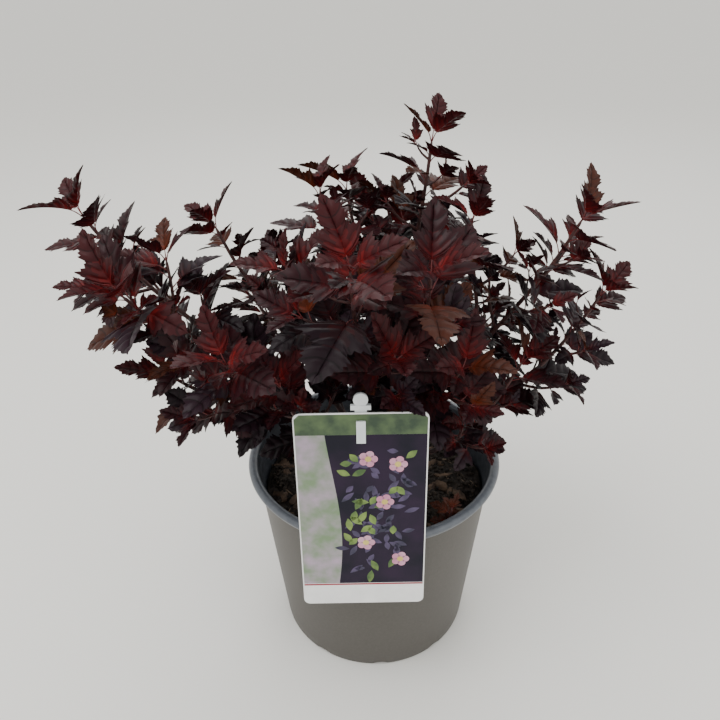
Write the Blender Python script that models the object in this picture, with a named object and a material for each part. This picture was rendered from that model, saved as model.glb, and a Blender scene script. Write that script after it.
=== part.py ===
"""Potted ninebark: a dark-leaved shrub in a round nursery pot, with its label.

Metres, +Z up. The origin is the middle of the pot's underside, on the ground. The front of the
plant, where the label hangs, faces -Y. Sizes below are in millimetres and degrees and become
metres in the functions; a heading is the angle about +Z from +X.
"""

import itertools
import math
import random
from collections import namedtuple

import bmesh
import bpy
from mathutils import Matrix, Vector
from mathutils.bvhtree import BVHTree
from mathutils.geometry import interpolate_bezier

MM = 0.001
UP = Vector((0, 0, 1))
GAP = 0.3

# Pot
POT_SIDES = 36
POT_HEIGHT = 154
POT_FOOT_RADIUS = 74
POT_FOOT_WIDTH = 8
POT_FLOOR_LIFT = 4
POT_FOOT_BEVEL = 1.5
POT_BOSS_RADIUS = 12
POT_WALL = 1.6
POT_NECK_RADIUS = 88.5
POT_NECK_HEIGHT = 147
RIM_RADIUS = 95
RIM_WIDTH = 7
STEPS = 2
STEP_DROP = 7
STEP_DEPTH = 0.6
NOTCHES = 10
NOTCH_WIDTH = 16
NOTCH_HEIGHT = 3
DRAINS = 5
DRAIN_RADIUS = 5
DRAIN_REACH = 50

# Soil
SOIL_TOP = 126
SOIL_WAVE = 1.4
SOIL_FLAT_RADIUS = 24

# Trunk: a short cut-back stem inside the crown
TRUNK_HEIGHT = 24
TRUNK_FLARE_RADIUS = 15
TRUNK_WAIST_RADIUS = 9.5
TRUNK_HEAD_RADIUS = 12.5
TRUNK_SIDES = 15
TRUNK_LOBES = 5
TRUNK_LOBE_DEPTH = 1.8
TRUNK_LEAN = 5
TRUNK_LEAN_HEADING = 200

# Label and the pick that carries it
LABEL_WIDTH = 80
LABEL_HEIGHT = 148
LABEL_THICKNESS = 0.8
LABEL_CORNER = 4
LABEL_LEAN = 4.4
LABEL_TURN = -2
LABEL_PLACE = (-12.8, -95.0, 177)
SLOT_DROP = 9
SLOT_WIDTH = 7
SLOT_HEIGHT = 3
PICK_WIDTH = 7
PICK_THICKNESS = 1.4
PICK_FOOT = (-12.8, -80)
PICK_HEAD_RADIUS = 4.4
PICK_COLLAR_WIDTH = 12
PICK_TONGUE_HEIGHT = 15

# Limbs
BOUGH_SIDES = 5
BOUGH_STEPS = 5
STEM_SIDES = 3
STEM_STEPS = 5
TWIG_STEPS = 2

# Each bough leaves the trunk's head at a heading and a rise, and ends at a tip given by
# heading, reach from the pot's axis and height above the ground.
Bough = namedtuple("Bough", "name head rise tip_heading tip_reach tip_height foot_radius tip_radius")
BOUGHS = [
    Bough("bough_left_long", 190, 48, 192, 88, 246, 2.6, 2.0),
    Bough("bough_left_low", 203, 16, 203, 67, 206, 2.4, 1.9),
    Bough("bough_left_back", 145, 48, 168, 52, 236, 2.4, 1.9),
    Bough("bough_top_left", 170, 76, 152, 23, 262, 2.5, 1.9),
    Bough("bough_top", 20, 76, 32, 28, 275, 2.7, 2.0),
    Bough("bough_front_left", 238, 18, 225, 50, 186, 2.3, 1.8),
    Bough("bough_front", 258, 48, 254, 28, 222, 2.5, 1.9),
    Bough("bough_front_right", 305, 48, 313, 36, 212, 2.4, 1.9),
    Bough("bough_right_low", 322, 14, 330, 56, 176, 2.2, 1.7),
    Bough("bough_right_mid", 356, 16, 354, 76, 190, 2.5, 2.0),
    Bough("bough_right_high", 350, 48, 355, 63, 231, 2.6, 2.0),
    Bough("bough_back_right", 45, 18, 45, 64, 204, 2.4, 1.9),
    Bough("bough_back", 84, 48, 84, 50, 228, 2.4, 1.9),
    Bough("bough_back_left", 128, 16, 129, 64, 206, 2.4, 1.9),
]

# Each mass of foliage grows on from its bough's tip to a tip of its own.
Mass = namedtuple("Mass", "name bough heading reach height leaf twigs")
MASSES = [
    Mass("foliage_far_left", "bough_left_long", 187, 172, 350, 40, 3),
    Mass("foliage_left_front", "bough_left_long", 208, 158, 322, 46, 2),
    Mass("foliage_left_low", "bough_left_low", 201, 138, 256, 42, 2),
    Mass("foliage_left_star", "bough_left_low", 226, 124, 286, 46, 1),
    Mass("foliage_left_high", "bough_left_back", 165, 107, 324, 34, 1),
    Mass("foliage_left_rear", "bough_left_back", 142, 110, 250, 38, 2),
    Mass("foliage_top_left", "bough_top_left", 150, 38, 346, 38, 2),
    Mass("foliage_upper_left", "bough_top_left", 196, 56, 308, 38, 1),
    Mass("foliage_top", "bough_top", 20, 40, 380, 36, 3),
    Mass("foliage_top_rear", "bough_top", 76, 58, 326, 38, 1),
    Mass("foliage_front_high", "bough_front", 259, 88, 338, 48, 1),
    Mass("foliage_front_low", "bough_front", 275, 82, 280, 42, 1),
    Mass("foliage_front_right", "bough_front_right", 289, 82, 330, 46, 1),
    Mass("foliage_front_right_low", "bough_front_right", 302, 90, 270, 42, 1),
    Mass("foliage_front_left", "bough_front_left", 233, 98, 264, 40, 2),
    Mass("foliage_right_high", "bough_right_high", 349, 127, 340, 38, 3),
    Mass("foliage_right_inner", "bough_right_high", 350, 62, 336, 38, 1),
    Mass("foliage_right_mid", "bough_right_mid", 352.5, 148, 287, 36, 3),
    Mass("foliage_right_low", "bough_right_low", 338, 102, 250, 34, 1),
    Mass("foliage_right_rim", "bough_right_low", 315, 78, 212, 30, 1),
    Mass("foliage_rear_right", "bough_back_right", 58, 124, 278, 42, 2),
    Mass("foliage_rear_right_low", "bough_back_right", 28, 116, 228, 38, 1),
    Mass("foliage_rear", "bough_back", 88, 120, 296, 44, 2),
    Mass("foliage_rear_upper", "bough_back", 102, 70, 336, 38, 1),
    Mass("foliage_rear_left", "bough_back_left", 126, 134, 256, 42, 2),
    Mass("foliage_rear_left_low", "bough_back_left", 154, 118, 220, 38, 1),
]

# A young shoot that comes up through the soil at the front right
SPROUT_NAME = "foliage_basal_sprout"
SPROUT_FOOT = (47, -66)
SPROUT_TIP = (49, -70, 156)
SPROUT_LEAF = 15
SPROUT_INTERNODE = 6

# Shoots and leaves
STEM_FOOT_RADIUS = 1.8
STEM_TIP_RADIUS = 1.0
TWIG_FOOT_RADIUS = 1.2
TWIG_TIP_RADIUS = 0.8
INTERNODE = 14
TWIG_INTERNODE = 12
TUFT = 3
TWIG_LEAF_SHARE = 0.68
LEAF_TURN = 144
LEAF_THICKNESS = 0.02
PETIOLE_HALF_WIDTH = 0.4
PETIOLE_ROOT_HALF_WIDTH = 0.25
LOBE_ALONG = 0.38
LOBE_ACROSS = 0.42
SHOULDER_ALONG = 0.69
SHOULDER_ACROSS = 0.26
HEART_ALONG = 0.42
NARROW_LEAF = 0.8
LEAF_FOLD = 0.3
LEAF_ARCH = 0.12
STALK_SHARE = 0.28
OUTER_DROOP = 1.6
SPACE_SLACK = 16
CLEARANCE = 0.4
CELL = 20

Shoot = namedtuple("Shoot", "owner points radii sides")
Leaf = namedtuple("Leaf", "owner root base forward normal length width fold arch")
Slot = namedtuple("Slot", "rank owner point tangent turn angle length droop narrow")


# Materials


def material(name, colour, roughness, metallic=0.0):
    made = bpy.data.materials.new(name)
    made.use_nodes = True
    shader = made.node_tree.nodes["Principled BSDF"]
    shader.inputs["Base Color"].default_value = (*colour, 1.0)
    shader.inputs["Roughness"].default_value = roughness
    shader.inputs["Metallic"].default_value = metallic
    return made


def add_object(name, mesh, surface, smooth_angle=None):
    mesh.materials.append(surface)
    if smooth_angle is not None:
        mesh.shade_smooth()
        mesh.set_sharp_from_angle(angle=math.radians(smooth_angle))
    made = bpy.data.objects.new(name, mesh)
    bpy.context.scene.collection.objects.link(made)
    return made


def mesh_of(name, solid):
    """A mesh in metres from vertices in millimetres and their faces."""
    vertices, faces = solid
    mesh = bpy.data.meshes.new(name)
    mesh.from_pydata([v * MM for v in vertices], [], faces)
    return mesh


# Geometry


def place(heading, reach, height):
    angle = math.radians(heading)
    return Vector((reach * math.cos(angle), reach * math.sin(angle), height))


def direction(heading, rise):
    return place(heading, math.cos(math.radians(rise)), math.sin(math.radians(rise)))


def across(vector, axis):
    """The part of a vector square to an axis, at unit length."""
    return (vector - axis * vector.dot(axis)).normalized()


def curve(start, start_way, end, end_way, steps):
    """Points of a Bezier that leaves and arrives along two unit vectors."""
    pull = (end - start).length * 0.36
    return interpolate_bezier(start, start + start_way * pull, end - end_way * pull, end, steps + 1)


def taper(first, last, count):
    return [first + (last - first) * k / (count - 1) for k in range(count)]


def tangent_at(points, k):
    before = points[max(k - 1, 0)]
    after = points[min(k + 1, len(points) - 1)]
    return (after - before).normalized()


def tube(shoot, swell=0.0):
    """A tapering closed tube along a shoot's centre line."""
    points, radii, sides = shoot.points, shoot.radii, shoot.sides
    vertices = []
    side = across(Vector((0.31, 0.17, 0.93)), tangent_at(points, 0).cross(UP).normalized())
    for k, point in enumerate(points):
        way = tangent_at(points, k)
        side = across(side, way)
        other = way.cross(side)
        for n in range(sides):
            turn = math.tau * n / sides
            vertices.append(point + (side * math.cos(turn) + other * math.sin(turn)) * (radii[k] + swell))
    faces = [tuple(reversed(range(sides)))]
    for k in range(len(points) - 1):
        for n in range(sides):
            a, b = k * sides + n, k * sides + (n + 1) % sides
            faces.append((a, b, b + sides, a + sides))
    faces.append(tuple(range((len(points) - 1) * sides, len(points) * sides)))
    return vertices, faces


def spun(name, profile, sides):
    """A closed solid of revolution about Z; the profile runs from the axis to the axis."""
    shape = bmesh.new()
    ring = [shape.verts.new((x * MM, 0, z * MM)) for x, z in profile]
    edges = [shape.edges.new(pair) for pair in zip(ring, ring[1:])]
    bmesh.ops.spin(shape, geom=ring + edges, axis=UP, cent=(0, 0, 0), steps=sides, angle=math.tau)
    bmesh.ops.remove_doubles(shape, verts=shape.verts, dist=1e-6)
    bmesh.ops.recalc_face_normals(shape, faces=shape.faces)
    mesh = bpy.data.meshes.new(name)
    shape.to_mesh(mesh)
    shape.free()
    return mesh


def cut(target, cutters):
    """Boolean differences, kept as modifiers on the object."""
    for cutter in cutters:
        cutter.hide_render = True
        cutter.display_type = "WIRE"
        modifier = target.modifiers.new(cutter.name, "BOOLEAN")
        modifier.operation = "DIFFERENCE"
        modifier.object = cutter


def applied(target):
    """Bakes an object's modifiers into its mesh."""
    graph = bpy.context.evaluated_depsgraph_get()
    baked = bpy.data.meshes.new_from_object(target.evaluated_get(graph))
    target.modifiers.clear()
    target.data = baked
    return target


def remove(objects):
    for extra in objects:
        bpy.data.objects.remove(extra, do_unlink=True)


# Pot and soil


def pot_wall_radius(height):
    """Outer radius of the tapering wall at a height."""
    share = (height - POT_FOOT_BEVEL) / (POT_NECK_HEIGHT - POT_FOOT_BEVEL)
    return POT_FOOT_RADIUS + 1 + (POT_NECK_RADIUS - POT_FOOT_RADIUS - 1) * share


def pot_inner_radius(height):
    return pot_wall_radius(height) - POT_WALL


def pot_profile():
    inner_foot = POT_FOOT_RADIUS - POT_FOOT_WIDTH
    floor = POT_FLOOR_LIFT + POT_WALL
    middle = RIM_RADIUS - RIM_WIDTH / 2
    low = POT_HEIGHT - 3.2
    points = [(0, 0), (POT_BOSS_RADIUS, 0), (POT_BOSS_RADIUS, POT_FLOOR_LIFT)]
    points += [(inner_foot, POT_FLOOR_LIFT), (inner_foot, 0), (POT_FOOT_RADIUS, 0)]
    points += [(pot_wall_radius(POT_FOOT_BEVEL), POT_FOOT_BEVEL), (POT_NECK_RADIUS, POT_NECK_HEIGHT)]
    points.append((middle, POT_NECK_HEIGHT + 0.6))
    for k in range(5):
        turn = math.pi * k / 4
        points.append((middle + RIM_WIDTH / 2 * math.cos(turn), low + 3.2 * math.sin(turn)))
    for k in range(1, STEPS + 1):
        step_height = POT_HEIGHT - 3 - STEP_DROP * k
        upper = pot_inner_radius(POT_NECK_HEIGHT) - STEP_DEPTH * (k - 1)
        points += [(upper, step_height + 0.5), (upper - STEP_DEPTH, step_height - 0.5)]
    points += [(pot_inner_radius(floor), floor), (0, floor)]
    return points


def build_pot():
    plastic = material("pot_plastic", (0.075, 0.068, 0.058), 0.48)
    pot = add_object("pot", spun("pot", pot_profile(), POT_SIDES), plastic)
    half = NOTCH_WIDTH / 2
    radius = (half**2 + NOTCH_HEIGHT**2) / (2 * NOTCH_HEIGHT)
    cutters = []
    for k in range(NOTCHES):
        heading = 360 * (k + 0.5) / NOTCHES
        bpy.ops.mesh.primitive_cylinder_add(vertices=24, radius=radius * MM, depth=30 * MM)
        notch = bpy.context.object
        notch.location = place(heading, POT_FOOT_RADIUS, NOTCH_HEIGHT - radius) * MM
        notch.rotation_euler = (0, math.radians(90), math.radians(heading))
        cutters.append(notch)
    for k in range(DRAINS):
        bpy.ops.mesh.primitive_cylinder_add(vertices=10, radius=DRAIN_RADIUS * MM, depth=20 * MM)
        drain = bpy.context.object
        drain.location = place(360 * k / DRAINS + 12, DRAIN_REACH, POT_FLOOR_LIFT) * MM
        cutters.append(drain)
    cut(pot, cutters)
    applied(pot)
    remove(cutters)
    pot.data.shade_smooth()
    pot.data.set_sharp_from_angle(angle=math.radians(32))
    return pot


def soil_height(x, y):
    """Top of the soil: level round the trunk, gently uneven near the wall."""
    reach = math.hypot(x, y)
    share = min(max((reach - SOIL_FLAT_RADIUS) / 25, 0), 1)
    wave = math.sin(x / 11 + 1.3) * math.cos(y / 9 + 0.4) + 0.5 * math.sin((x + y) / 6)
    return SOIL_TOP + SOIL_WAVE * share * wave


def build_soil():
    floor = POT_FLOOR_LIFT + POT_WALL + GAP
    side = GAP + 0.2
    shoulder = pot_inner_radius(SOIL_TOP) - STEPS * STEP_DEPTH - side
    profile = [(0, floor), (pot_inner_radius(floor) - side, floor), (shoulder, SOIL_TOP)]
    profile += [(reach, SOIL_TOP) for reach in (68, 48, SOIL_FLAT_RADIUS)] + [(0, SOIL_TOP)]
    mesh = spun("soil", profile, POT_SIDES)
    for vertex in mesh.vertices:
        if vertex.co.z > (SOIL_TOP - 1) * MM:
            vertex.co.z = soil_height(vertex.co.x / MM, vertex.co.y / MM) * MM
    return add_object("soil", mesh, material("compost", (0.03, 0.022, 0.016), 0.95), 40)


# Label and pick


def build_label():
    half_width, half_height = LABEL_WIDTH / 2, LABEL_HEIGHT / 2
    outline = []
    for turn, sx, sz in ((0, 1, 1), (90, -1, 1), (180, -1, -1), (270, 1, -1)):
        for k in range(4):
            angle = math.radians(turn + 30 * k)
            x = sx * (half_width - LABEL_CORNER) + LABEL_CORNER * math.cos(angle)
            z = sz * (half_height - LABEL_CORNER) + LABEL_CORNER * math.sin(angle)
            outline.append(Vector((x, 0, z)))
    half = Vector((0, LABEL_THICKNESS / 2, 0))
    count = len(outline)
    faces = [tuple(range(count)), tuple(reversed(range(count, 2 * count)))]
    faces += [(k, k + count, (k + 1) % count + count, (k + 1) % count) for k in range(count)]
    card = mesh_of("label", ([p - half for p in outline] + [p + half for p in outline], faces))
    label = add_object("label", card, material("label_card", (0.22, 0.2, 0.26), 0.35))
    bpy.ops.mesh.primitive_cube_add(size=1)
    slot = bpy.context.object
    slot.scale = (SLOT_WIDTH * MM, 10 * MM, SLOT_HEIGHT * MM)
    slot.location = (0, 0, (half_height - SLOT_DROP) * MM)
    cut(label, [slot])
    applied(label)
    remove([slot])
    label.data.transform(label_frame())
    return label


def label_frame():
    """Turns and leans the upright label and moves it to its place against the rim."""
    turn = Matrix.Rotation(math.radians(LABEL_TURN), 4, "Z")
    lean = Matrix.Rotation(math.radians(-LABEL_LEAN), 4, "X")
    return Matrix.Translation(Vector(LABEL_PLACE) * MM) @ turn @ lean


def block(size, centre):
    bpy.ops.mesh.primitive_cube_add(size=1)
    made = bpy.context.object
    shrink = Matrix.Diagonal((*[s * MM for s in size], 1))
    made.data.transform(Matrix.Translation(Vector(centre) * MM) @ shrink)
    return made


def build_pick():
    """A strip in the soil, with a head, a collar and a tongue through the label's slot."""
    back = LABEL_THICKNESS / 2 + GAP
    slot_height = LABEL_HEIGHT / 2 - SLOT_DROP
    head_height = LABEL_HEIGHT / 2 + 8
    middle = back + PICK_THICKNESS / 2
    upper = block((PICK_WIDTH, PICK_THICKNESS, 30), (0, middle, head_height - 19))
    parts = [block((PICK_COLLAR_WIDTH, PICK_THICKNESS * 1.6, 3), (0, middle, head_height - 5))]
    depth = PICK_THICKNESS * 1.3 * MM
    bpy.ops.mesh.primitive_cylinder_add(vertices=16, radius=PICK_HEAD_RADIUS * MM, depth=depth)
    head = bpy.context.object
    turn = Matrix.Translation(Vector((0, middle, head_height)) * MM) @ Matrix.Rotation(math.pi / 2, 4, "X")
    head.data.transform(turn)
    parts.append(head)
    neck = 2 * back + PICK_THICKNESS
    parts.append(block((SLOT_WIDTH - 1.4, neck, SLOT_HEIGHT - 1), (0, 0.2, slot_height)))
    front = -back - 0.6
    tongue_middle = slot_height - PICK_TONGUE_HEIGHT / 2 + 4
    parts.append(block((SLOT_WIDTH - 1.5, 1.2, PICK_TONGUE_HEIGHT), (0, front, tongue_middle)))
    for piece in [upper] + parts:
        piece.data.transform(label_frame())
    top = label_frame() @ (Vector((0, middle + 0.3, head_height - 28)) * MM)
    foot = Vector((*PICK_FOOT, soil_height(*PICK_FOOT) + GAP + 1.2)) * MM
    strip_way = (top - foot).normalized()
    side = Vector((PICK_WIDTH / 2 * MM, 0, 0))
    depth = across(Vector((0, 1, 0)), strip_way) * (PICK_THICKNESS / 2 * MM)
    corners = []
    for end in (foot, top):
        corners += [end - side - depth, end + side - depth, end + side + depth, end - side + depth]
    faces = [(3, 2, 1, 0), (4, 5, 6, 7), (0, 1, 5, 4), (1, 2, 6, 5), (2, 3, 7, 6), (3, 0, 4, 7)]
    strip = bpy.data.meshes.new("label_pick")
    strip.from_pydata(corners, [], faces)
    pick = add_object("label_pick", strip, material("pick_plastic", (0.8, 0.82, 0.84), 0.3))
    return fused(pick, [upper] + parts)


# Trunk


def trunk_head():
    lean = math.radians(TRUNK_LEAN)
    away = direction(TRUNK_LEAN_HEADING, 0)
    return Vector((0, 0, SOIL_TOP + GAP)) + (UP * math.cos(lean) + away * math.sin(lean)) * TRUNK_HEIGHT


def build_trunk():
    """Flared foot, waist and a knuckled head that the boughs spring from."""
    foot = Vector((0, 0, SOIL_TOP + GAP))
    head = trunk_head()
    rings = [(0.0, TRUNK_FLARE_RADIUS, 1.0), (0.12, TRUNK_FLARE_RADIUS * 0.82, 0.8)]
    rings += [(0.3, TRUNK_WAIST_RADIUS * 1.06, 0.4), (0.5, TRUNK_WAIST_RADIUS, 0.2)]
    vertices = []
    for share, radius, lobe in rings:
        centre = foot.lerp(head, share)
        centre.z = foot.z + (head.z - foot.z) * share
        vertices += trunk_ring(centre, radius, lobe * TRUNK_LOBE_DEPTH)
    for rise in (-35, -5, 25, 52, 74):
        angle = math.radians(rise)
        lifted = head + UP * TRUNK_HEAD_RADIUS * math.sin(angle)
        vertices += trunk_ring(lifted, TRUNK_HEAD_RADIUS * math.cos(angle), 0)
    count = len(vertices) // TRUNK_SIDES
    faces = [tuple(reversed(range(TRUNK_SIDES)))]
    for k in range(count - 1):
        for n in range(TRUNK_SIDES):
            a, b = k * TRUNK_SIDES + n, k * TRUNK_SIDES + (n + 1) % TRUNK_SIDES
            faces.append((a, b, b + TRUNK_SIDES, a + TRUNK_SIDES))
    faces.append(tuple(range((count - 1) * TRUNK_SIDES, count * TRUNK_SIDES)))
    bark = material("trunk_bark", (0.07, 0.045, 0.035), 0.9)
    return add_object("trunk", mesh_of("trunk", (vertices, faces)), bark, 50)


def trunk_ring(centre, radius, lobe):
    ring = []
    for n in range(TRUNK_SIDES):
        heading = 360 * n / TRUNK_SIDES
        swell = lobe * math.cos(math.radians(heading * TRUNK_LOBES))
        ring.append(centre + direction(heading, 0) * (radius + swell))
    return ring


# Limbs


def bough_shoot(spec):
    """A bough's centre line, from just off the trunk's head to its tip."""
    away = direction(spec.head, spec.rise)
    start = trunk_head() + away * (TRUNK_HEAD_RADIUS + GAP)
    tip = place(spec.tip_heading, spec.tip_reach, spec.tip_height)
    onward = Vector()
    for mass in MASSES:
        if mass.bough == spec.name:
            onward += place(mass.heading, mass.reach, mass.height) - tip
    arrive = ((tip - start).normalized() + onward.normalized()).normalized()
    points = curve(start, away, tip, arrive, BOUGH_STEPS)
    return Shoot(spec.name, points, taper(spec.foot_radius, spec.tip_radius, len(points)), BOUGH_SIDES)


def mass_shoot(spec, boughs, forks):
    """A mass's own stem, from just off its bough's tip, beside its twin where two share the tip."""
    bough = boughs[spec.bough]
    way = tangent_at(bough.points, len(bough.points) - 1)
    tip = place(spec.heading, spec.reach, spec.height)
    start = bough.points[-1] + way * (GAP + 0.05)
    if len(forks[spec.bough]) > 1:
        twin = next(place(m.heading, m.reach, m.height) for m in forks[spec.bough] if m.name != spec.name)
        start += across(tip - twin, way) * (STEM_FOOT_RADIUS + 0.25)
    arrive = ((tip - start).normalized() + UP * 0.45).normalized()
    points = curve(start, way, tip, arrive, STEM_STEPS)
    return Shoot(spec.name, points, taper(STEM_FOOT_RADIUS, STEM_TIP_RADIUS, len(points)), STEM_SIDES)


def sprout_shoot():
    """The young shoot's stem, straight up from just off the soil."""
    foot = Vector((*SPROUT_FOOT, soil_height(*SPROUT_FOOT) + 3 * GAP))
    points = curve(foot, UP, Vector(SPROUT_TIP), UP, TWIG_STEPS)
    return Shoot(SPROUT_NAME, points, taper(TWIG_FOOT_RADIUS, TWIG_TIP_RADIUS, len(points)), STEM_SIDES)


def along(shoot, distance):
    """Point and tangent at a distance along a shoot's centre line."""
    left = distance
    for k in range(len(shoot.points) - 1):
        a, b = shoot.points[k], shoot.points[k + 1]
        step = (b - a).length
        if left <= step or k == len(shoot.points) - 2:
            return a.lerp(b, min(left / step, 1.0)), (b - a).normalized()
        left -= step


def length_of(shoot):
    return sum((b - a).length for a, b in zip(shoot.points, shoot.points[1:]))


# Leaves


def blade_point(leaf, x, y):
    """A point on the folded, arched upper face; x across and y along, in blade lengths."""
    side = leaf.forward.cross(leaf.normal)
    lift = leaf.fold * abs(x) - leaf.arch * y * y
    return leaf.base + (side * x * leaf.width + leaf.forward * y + leaf.normal * lift) * leaf.length


def leaf_solid(leaf, swell=0.0, bare=0.0):
    """A closed leaf: a three-sided stalk that runs into a thin blade, folded along its middle."""
    side = leaf.forward.cross(leaf.normal)
    half = PETIOLE_HALF_WIDTH + swell
    slim = PETIOLE_ROOT_HALF_WIDTH + swell
    stalk_way = (leaf.base - leaf.root).normalized()
    stalk_side = across(side, stalk_way)
    stalk_down = stalk_side.cross(stalk_way)
    if stalk_down.dot(leaf.normal) > 0:
        stalk_down = -stalk_down
    root = leaf.root + stalk_way * bare
    base = leaf.base
    reach = 1 + 2 * swell / leaf.length
    rim = [(LOBE_ACROSS, LOBE_ALONG), (SHOULDER_ACROSS, SHOULDER_ALONG), (0, 1)]
    rim += [(-SHOULDER_ACROSS, SHOULDER_ALONG), (-LOBE_ACROSS, LOBE_ALONG)]
    vertices = [root - stalk_side * slim, root + stalk_side * slim, root + stalk_down * slim * 1.5]
    vertices += [base - side * half, base + side * half, base - leaf.normal * half * 1.5]
    vertices += [blade_point(leaf, x * reach, y * reach) for x, y in rim]
    thickness = LEAF_THICKNESS * leaf.length + swell
    vertices.append(base.lerp(blade_point(leaf, 0, 1), HEART_ALONG) - leaf.normal * thickness)
    stalk = [(0, 2, 1), (0, 1, 4, 3), (1, 2, 5, 4), (2, 0, 3, 5), (5, 3, 11), (4, 5, 11)]
    upper = [(4, 6, 7), (4, 7, 8), (3, 4, 8), (3, 8, 9), (3, 9, 10)]
    under = [(b, a, 11) for a, b in zip([4, 6, 7, 8, 9, 10], [6, 7, 8, 9, 10, 3])]
    return vertices, stalk + upper + under


def leaf_at(slot, turn_shift, scale):
    """Stands one leaf on a shoot: the stalk leaves at an angle and the blade turns to the light."""
    tangent = slot.tangent
    first = across(Vector((0.6, -0.35, 0.72)), tangent)
    turn = math.radians(slot.turn + turn_shift)
    out = first * math.cos(turn) + tangent.cross(first) * math.sin(turn)
    if out.z < -0.25:
        out = (out - UP * (out.z + 0.25)).normalized()
    away = Vector((slot.point.x, slot.point.y, 0)).normalized()
    angle = math.radians(slot.angle)
    stalk = (tangent * math.cos(angle) + out * math.sin(angle)).normalized()
    length = slot.length * scale
    droop = slot.droop * (1 + max(out.dot(away), 0) * OUTER_DROOP)
    forward = (stalk + out * 0.45 - UP * droop).normalized()
    face = tangent * 0.35 + UP * 0.75 + away * 0.55
    normal = across(face, forward)
    base = slot.point + stalk * length * STALK_SHARE
    width = NARROW_LEAF if slot.narrow else 1.0
    return Leaf(slot.owner, slot.point, base, forward, normal, length, width, LEAF_FOLD, LEAF_ARCH)


def slots_on(shoot, size, spacing, rng):
    """Leaf places along a shoot, spirally set, with a tuft of narrow young leaves at its tip."""
    total = length_of(shoot)
    found = []
    turn = rng.uniform(0, 360)
    distance = spacing
    while distance < total - spacing * 0.4:
        share = distance / total
        point, tangent = along(shoot, distance)
        full = 0.78 + 0.5 * share if share < 0.45 else 1.22 - 0.5 * share
        grown = size * full * rng.uniform(0.88, 1.12)
        angle = rng.uniform(48, 66) - 12 * share
        droop = rng.uniform(0.05, 0.4) * (1.1 - share)
        found.append(Slot(total - distance, shoot.owner, point, tangent, turn, angle, grown, droop, False))
        turn += LEAF_TURN + rng.uniform(-12, 12)
        distance += spacing * (1.3 - 0.65 * share) * rng.uniform(0.88, 1.12)
    tip, tangent = along(shoot, total - 0.8)
    for k in range(TUFT):
        angle = rng.uniform(14, 34)
        young = size * rng.uniform(0.6, 0.8)
        found.append(Slot(-k, shoot.owner, tip, tangent, turn + 360 * k / TUFT, angle, young, 0.0, True))
    return found


def twigs_on(shoot, count, size, rng):
    """Short side twigs from the lower part of a mass's stem."""
    total = length_of(shoot)
    found = []
    turn = rng.uniform(0, 360)
    for k in range(count):
        share = 0.24 + 0.42 * (k + rng.uniform(0.2, 0.8)) / count
        point, tangent = along(shoot, total * share)
        found.append((point, tangent, turn, size * rng.uniform(0.75, 1.05)))
        turn += 137
    return found


def twig_shoot(owner, point, tangent, turn, length):
    first = across(Vector((0.6, -0.35, 0.72)), tangent)
    angle = math.radians(turn)
    out = first * math.cos(angle) + tangent.cross(first) * math.sin(angle)
    if out.z < -0.1:
        out = (out - UP * (out.z + 0.1)).normalized()
    leave = (tangent * 0.75 + out).normalized()
    tip = point + leave * length
    start_way = (tangent * 0.3 + out).normalized()
    points = curve(point, start_way, tip, (leave + UP * 0.5).normalized(), TWIG_STEPS)
    return Shoot(owner, points, taper(TWIG_FOOT_RADIUS, TWIG_TIP_RADIUS, len(points)), 3)


class Crowd:
    """Everything already standing, sorted into cells, to test whether a new twig or leaf touches it."""

    def __init__(self):
        self.cells = {}

    def cells_of(self, vertices):
        spans = []
        for k in range(3):
            values = [v[k] for v in vertices]
            spans.append(range(int(min(values) // CELL), int(max(values) // CELL) + 1))
        return itertools.product(*spans)

    def add(self, owner, solid):
        entry = (owner, BVHTree.FromPolygons(*solid))
        for cell in self.cells_of(solid[0]):
            self.cells.setdefault(cell, []).append(entry)

    def touches(self, solid, skip=None):
        near = {id(e): e for cell in self.cells_of(solid[0]) for e in self.cells.get(cell, [])}
        tree = BVHTree.FromPolygons(*solid)
        return any(owner != skip and tree.overlap(other) for owner, other in near.values())


def distance_to(shoot, point):
    return min((p - point).length for p in shoot.points)


def in_own_space(point, owner, stems):
    """A mass keeps to the room that lies nearer its own stem than any other's, give or take."""
    own = distance_to(stems[owner], point)
    others = [stem for name, stem in stems.items() if name != owner]
    return all(own < distance_to(stem, point) + SPACE_SLACK for stem in others)


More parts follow.
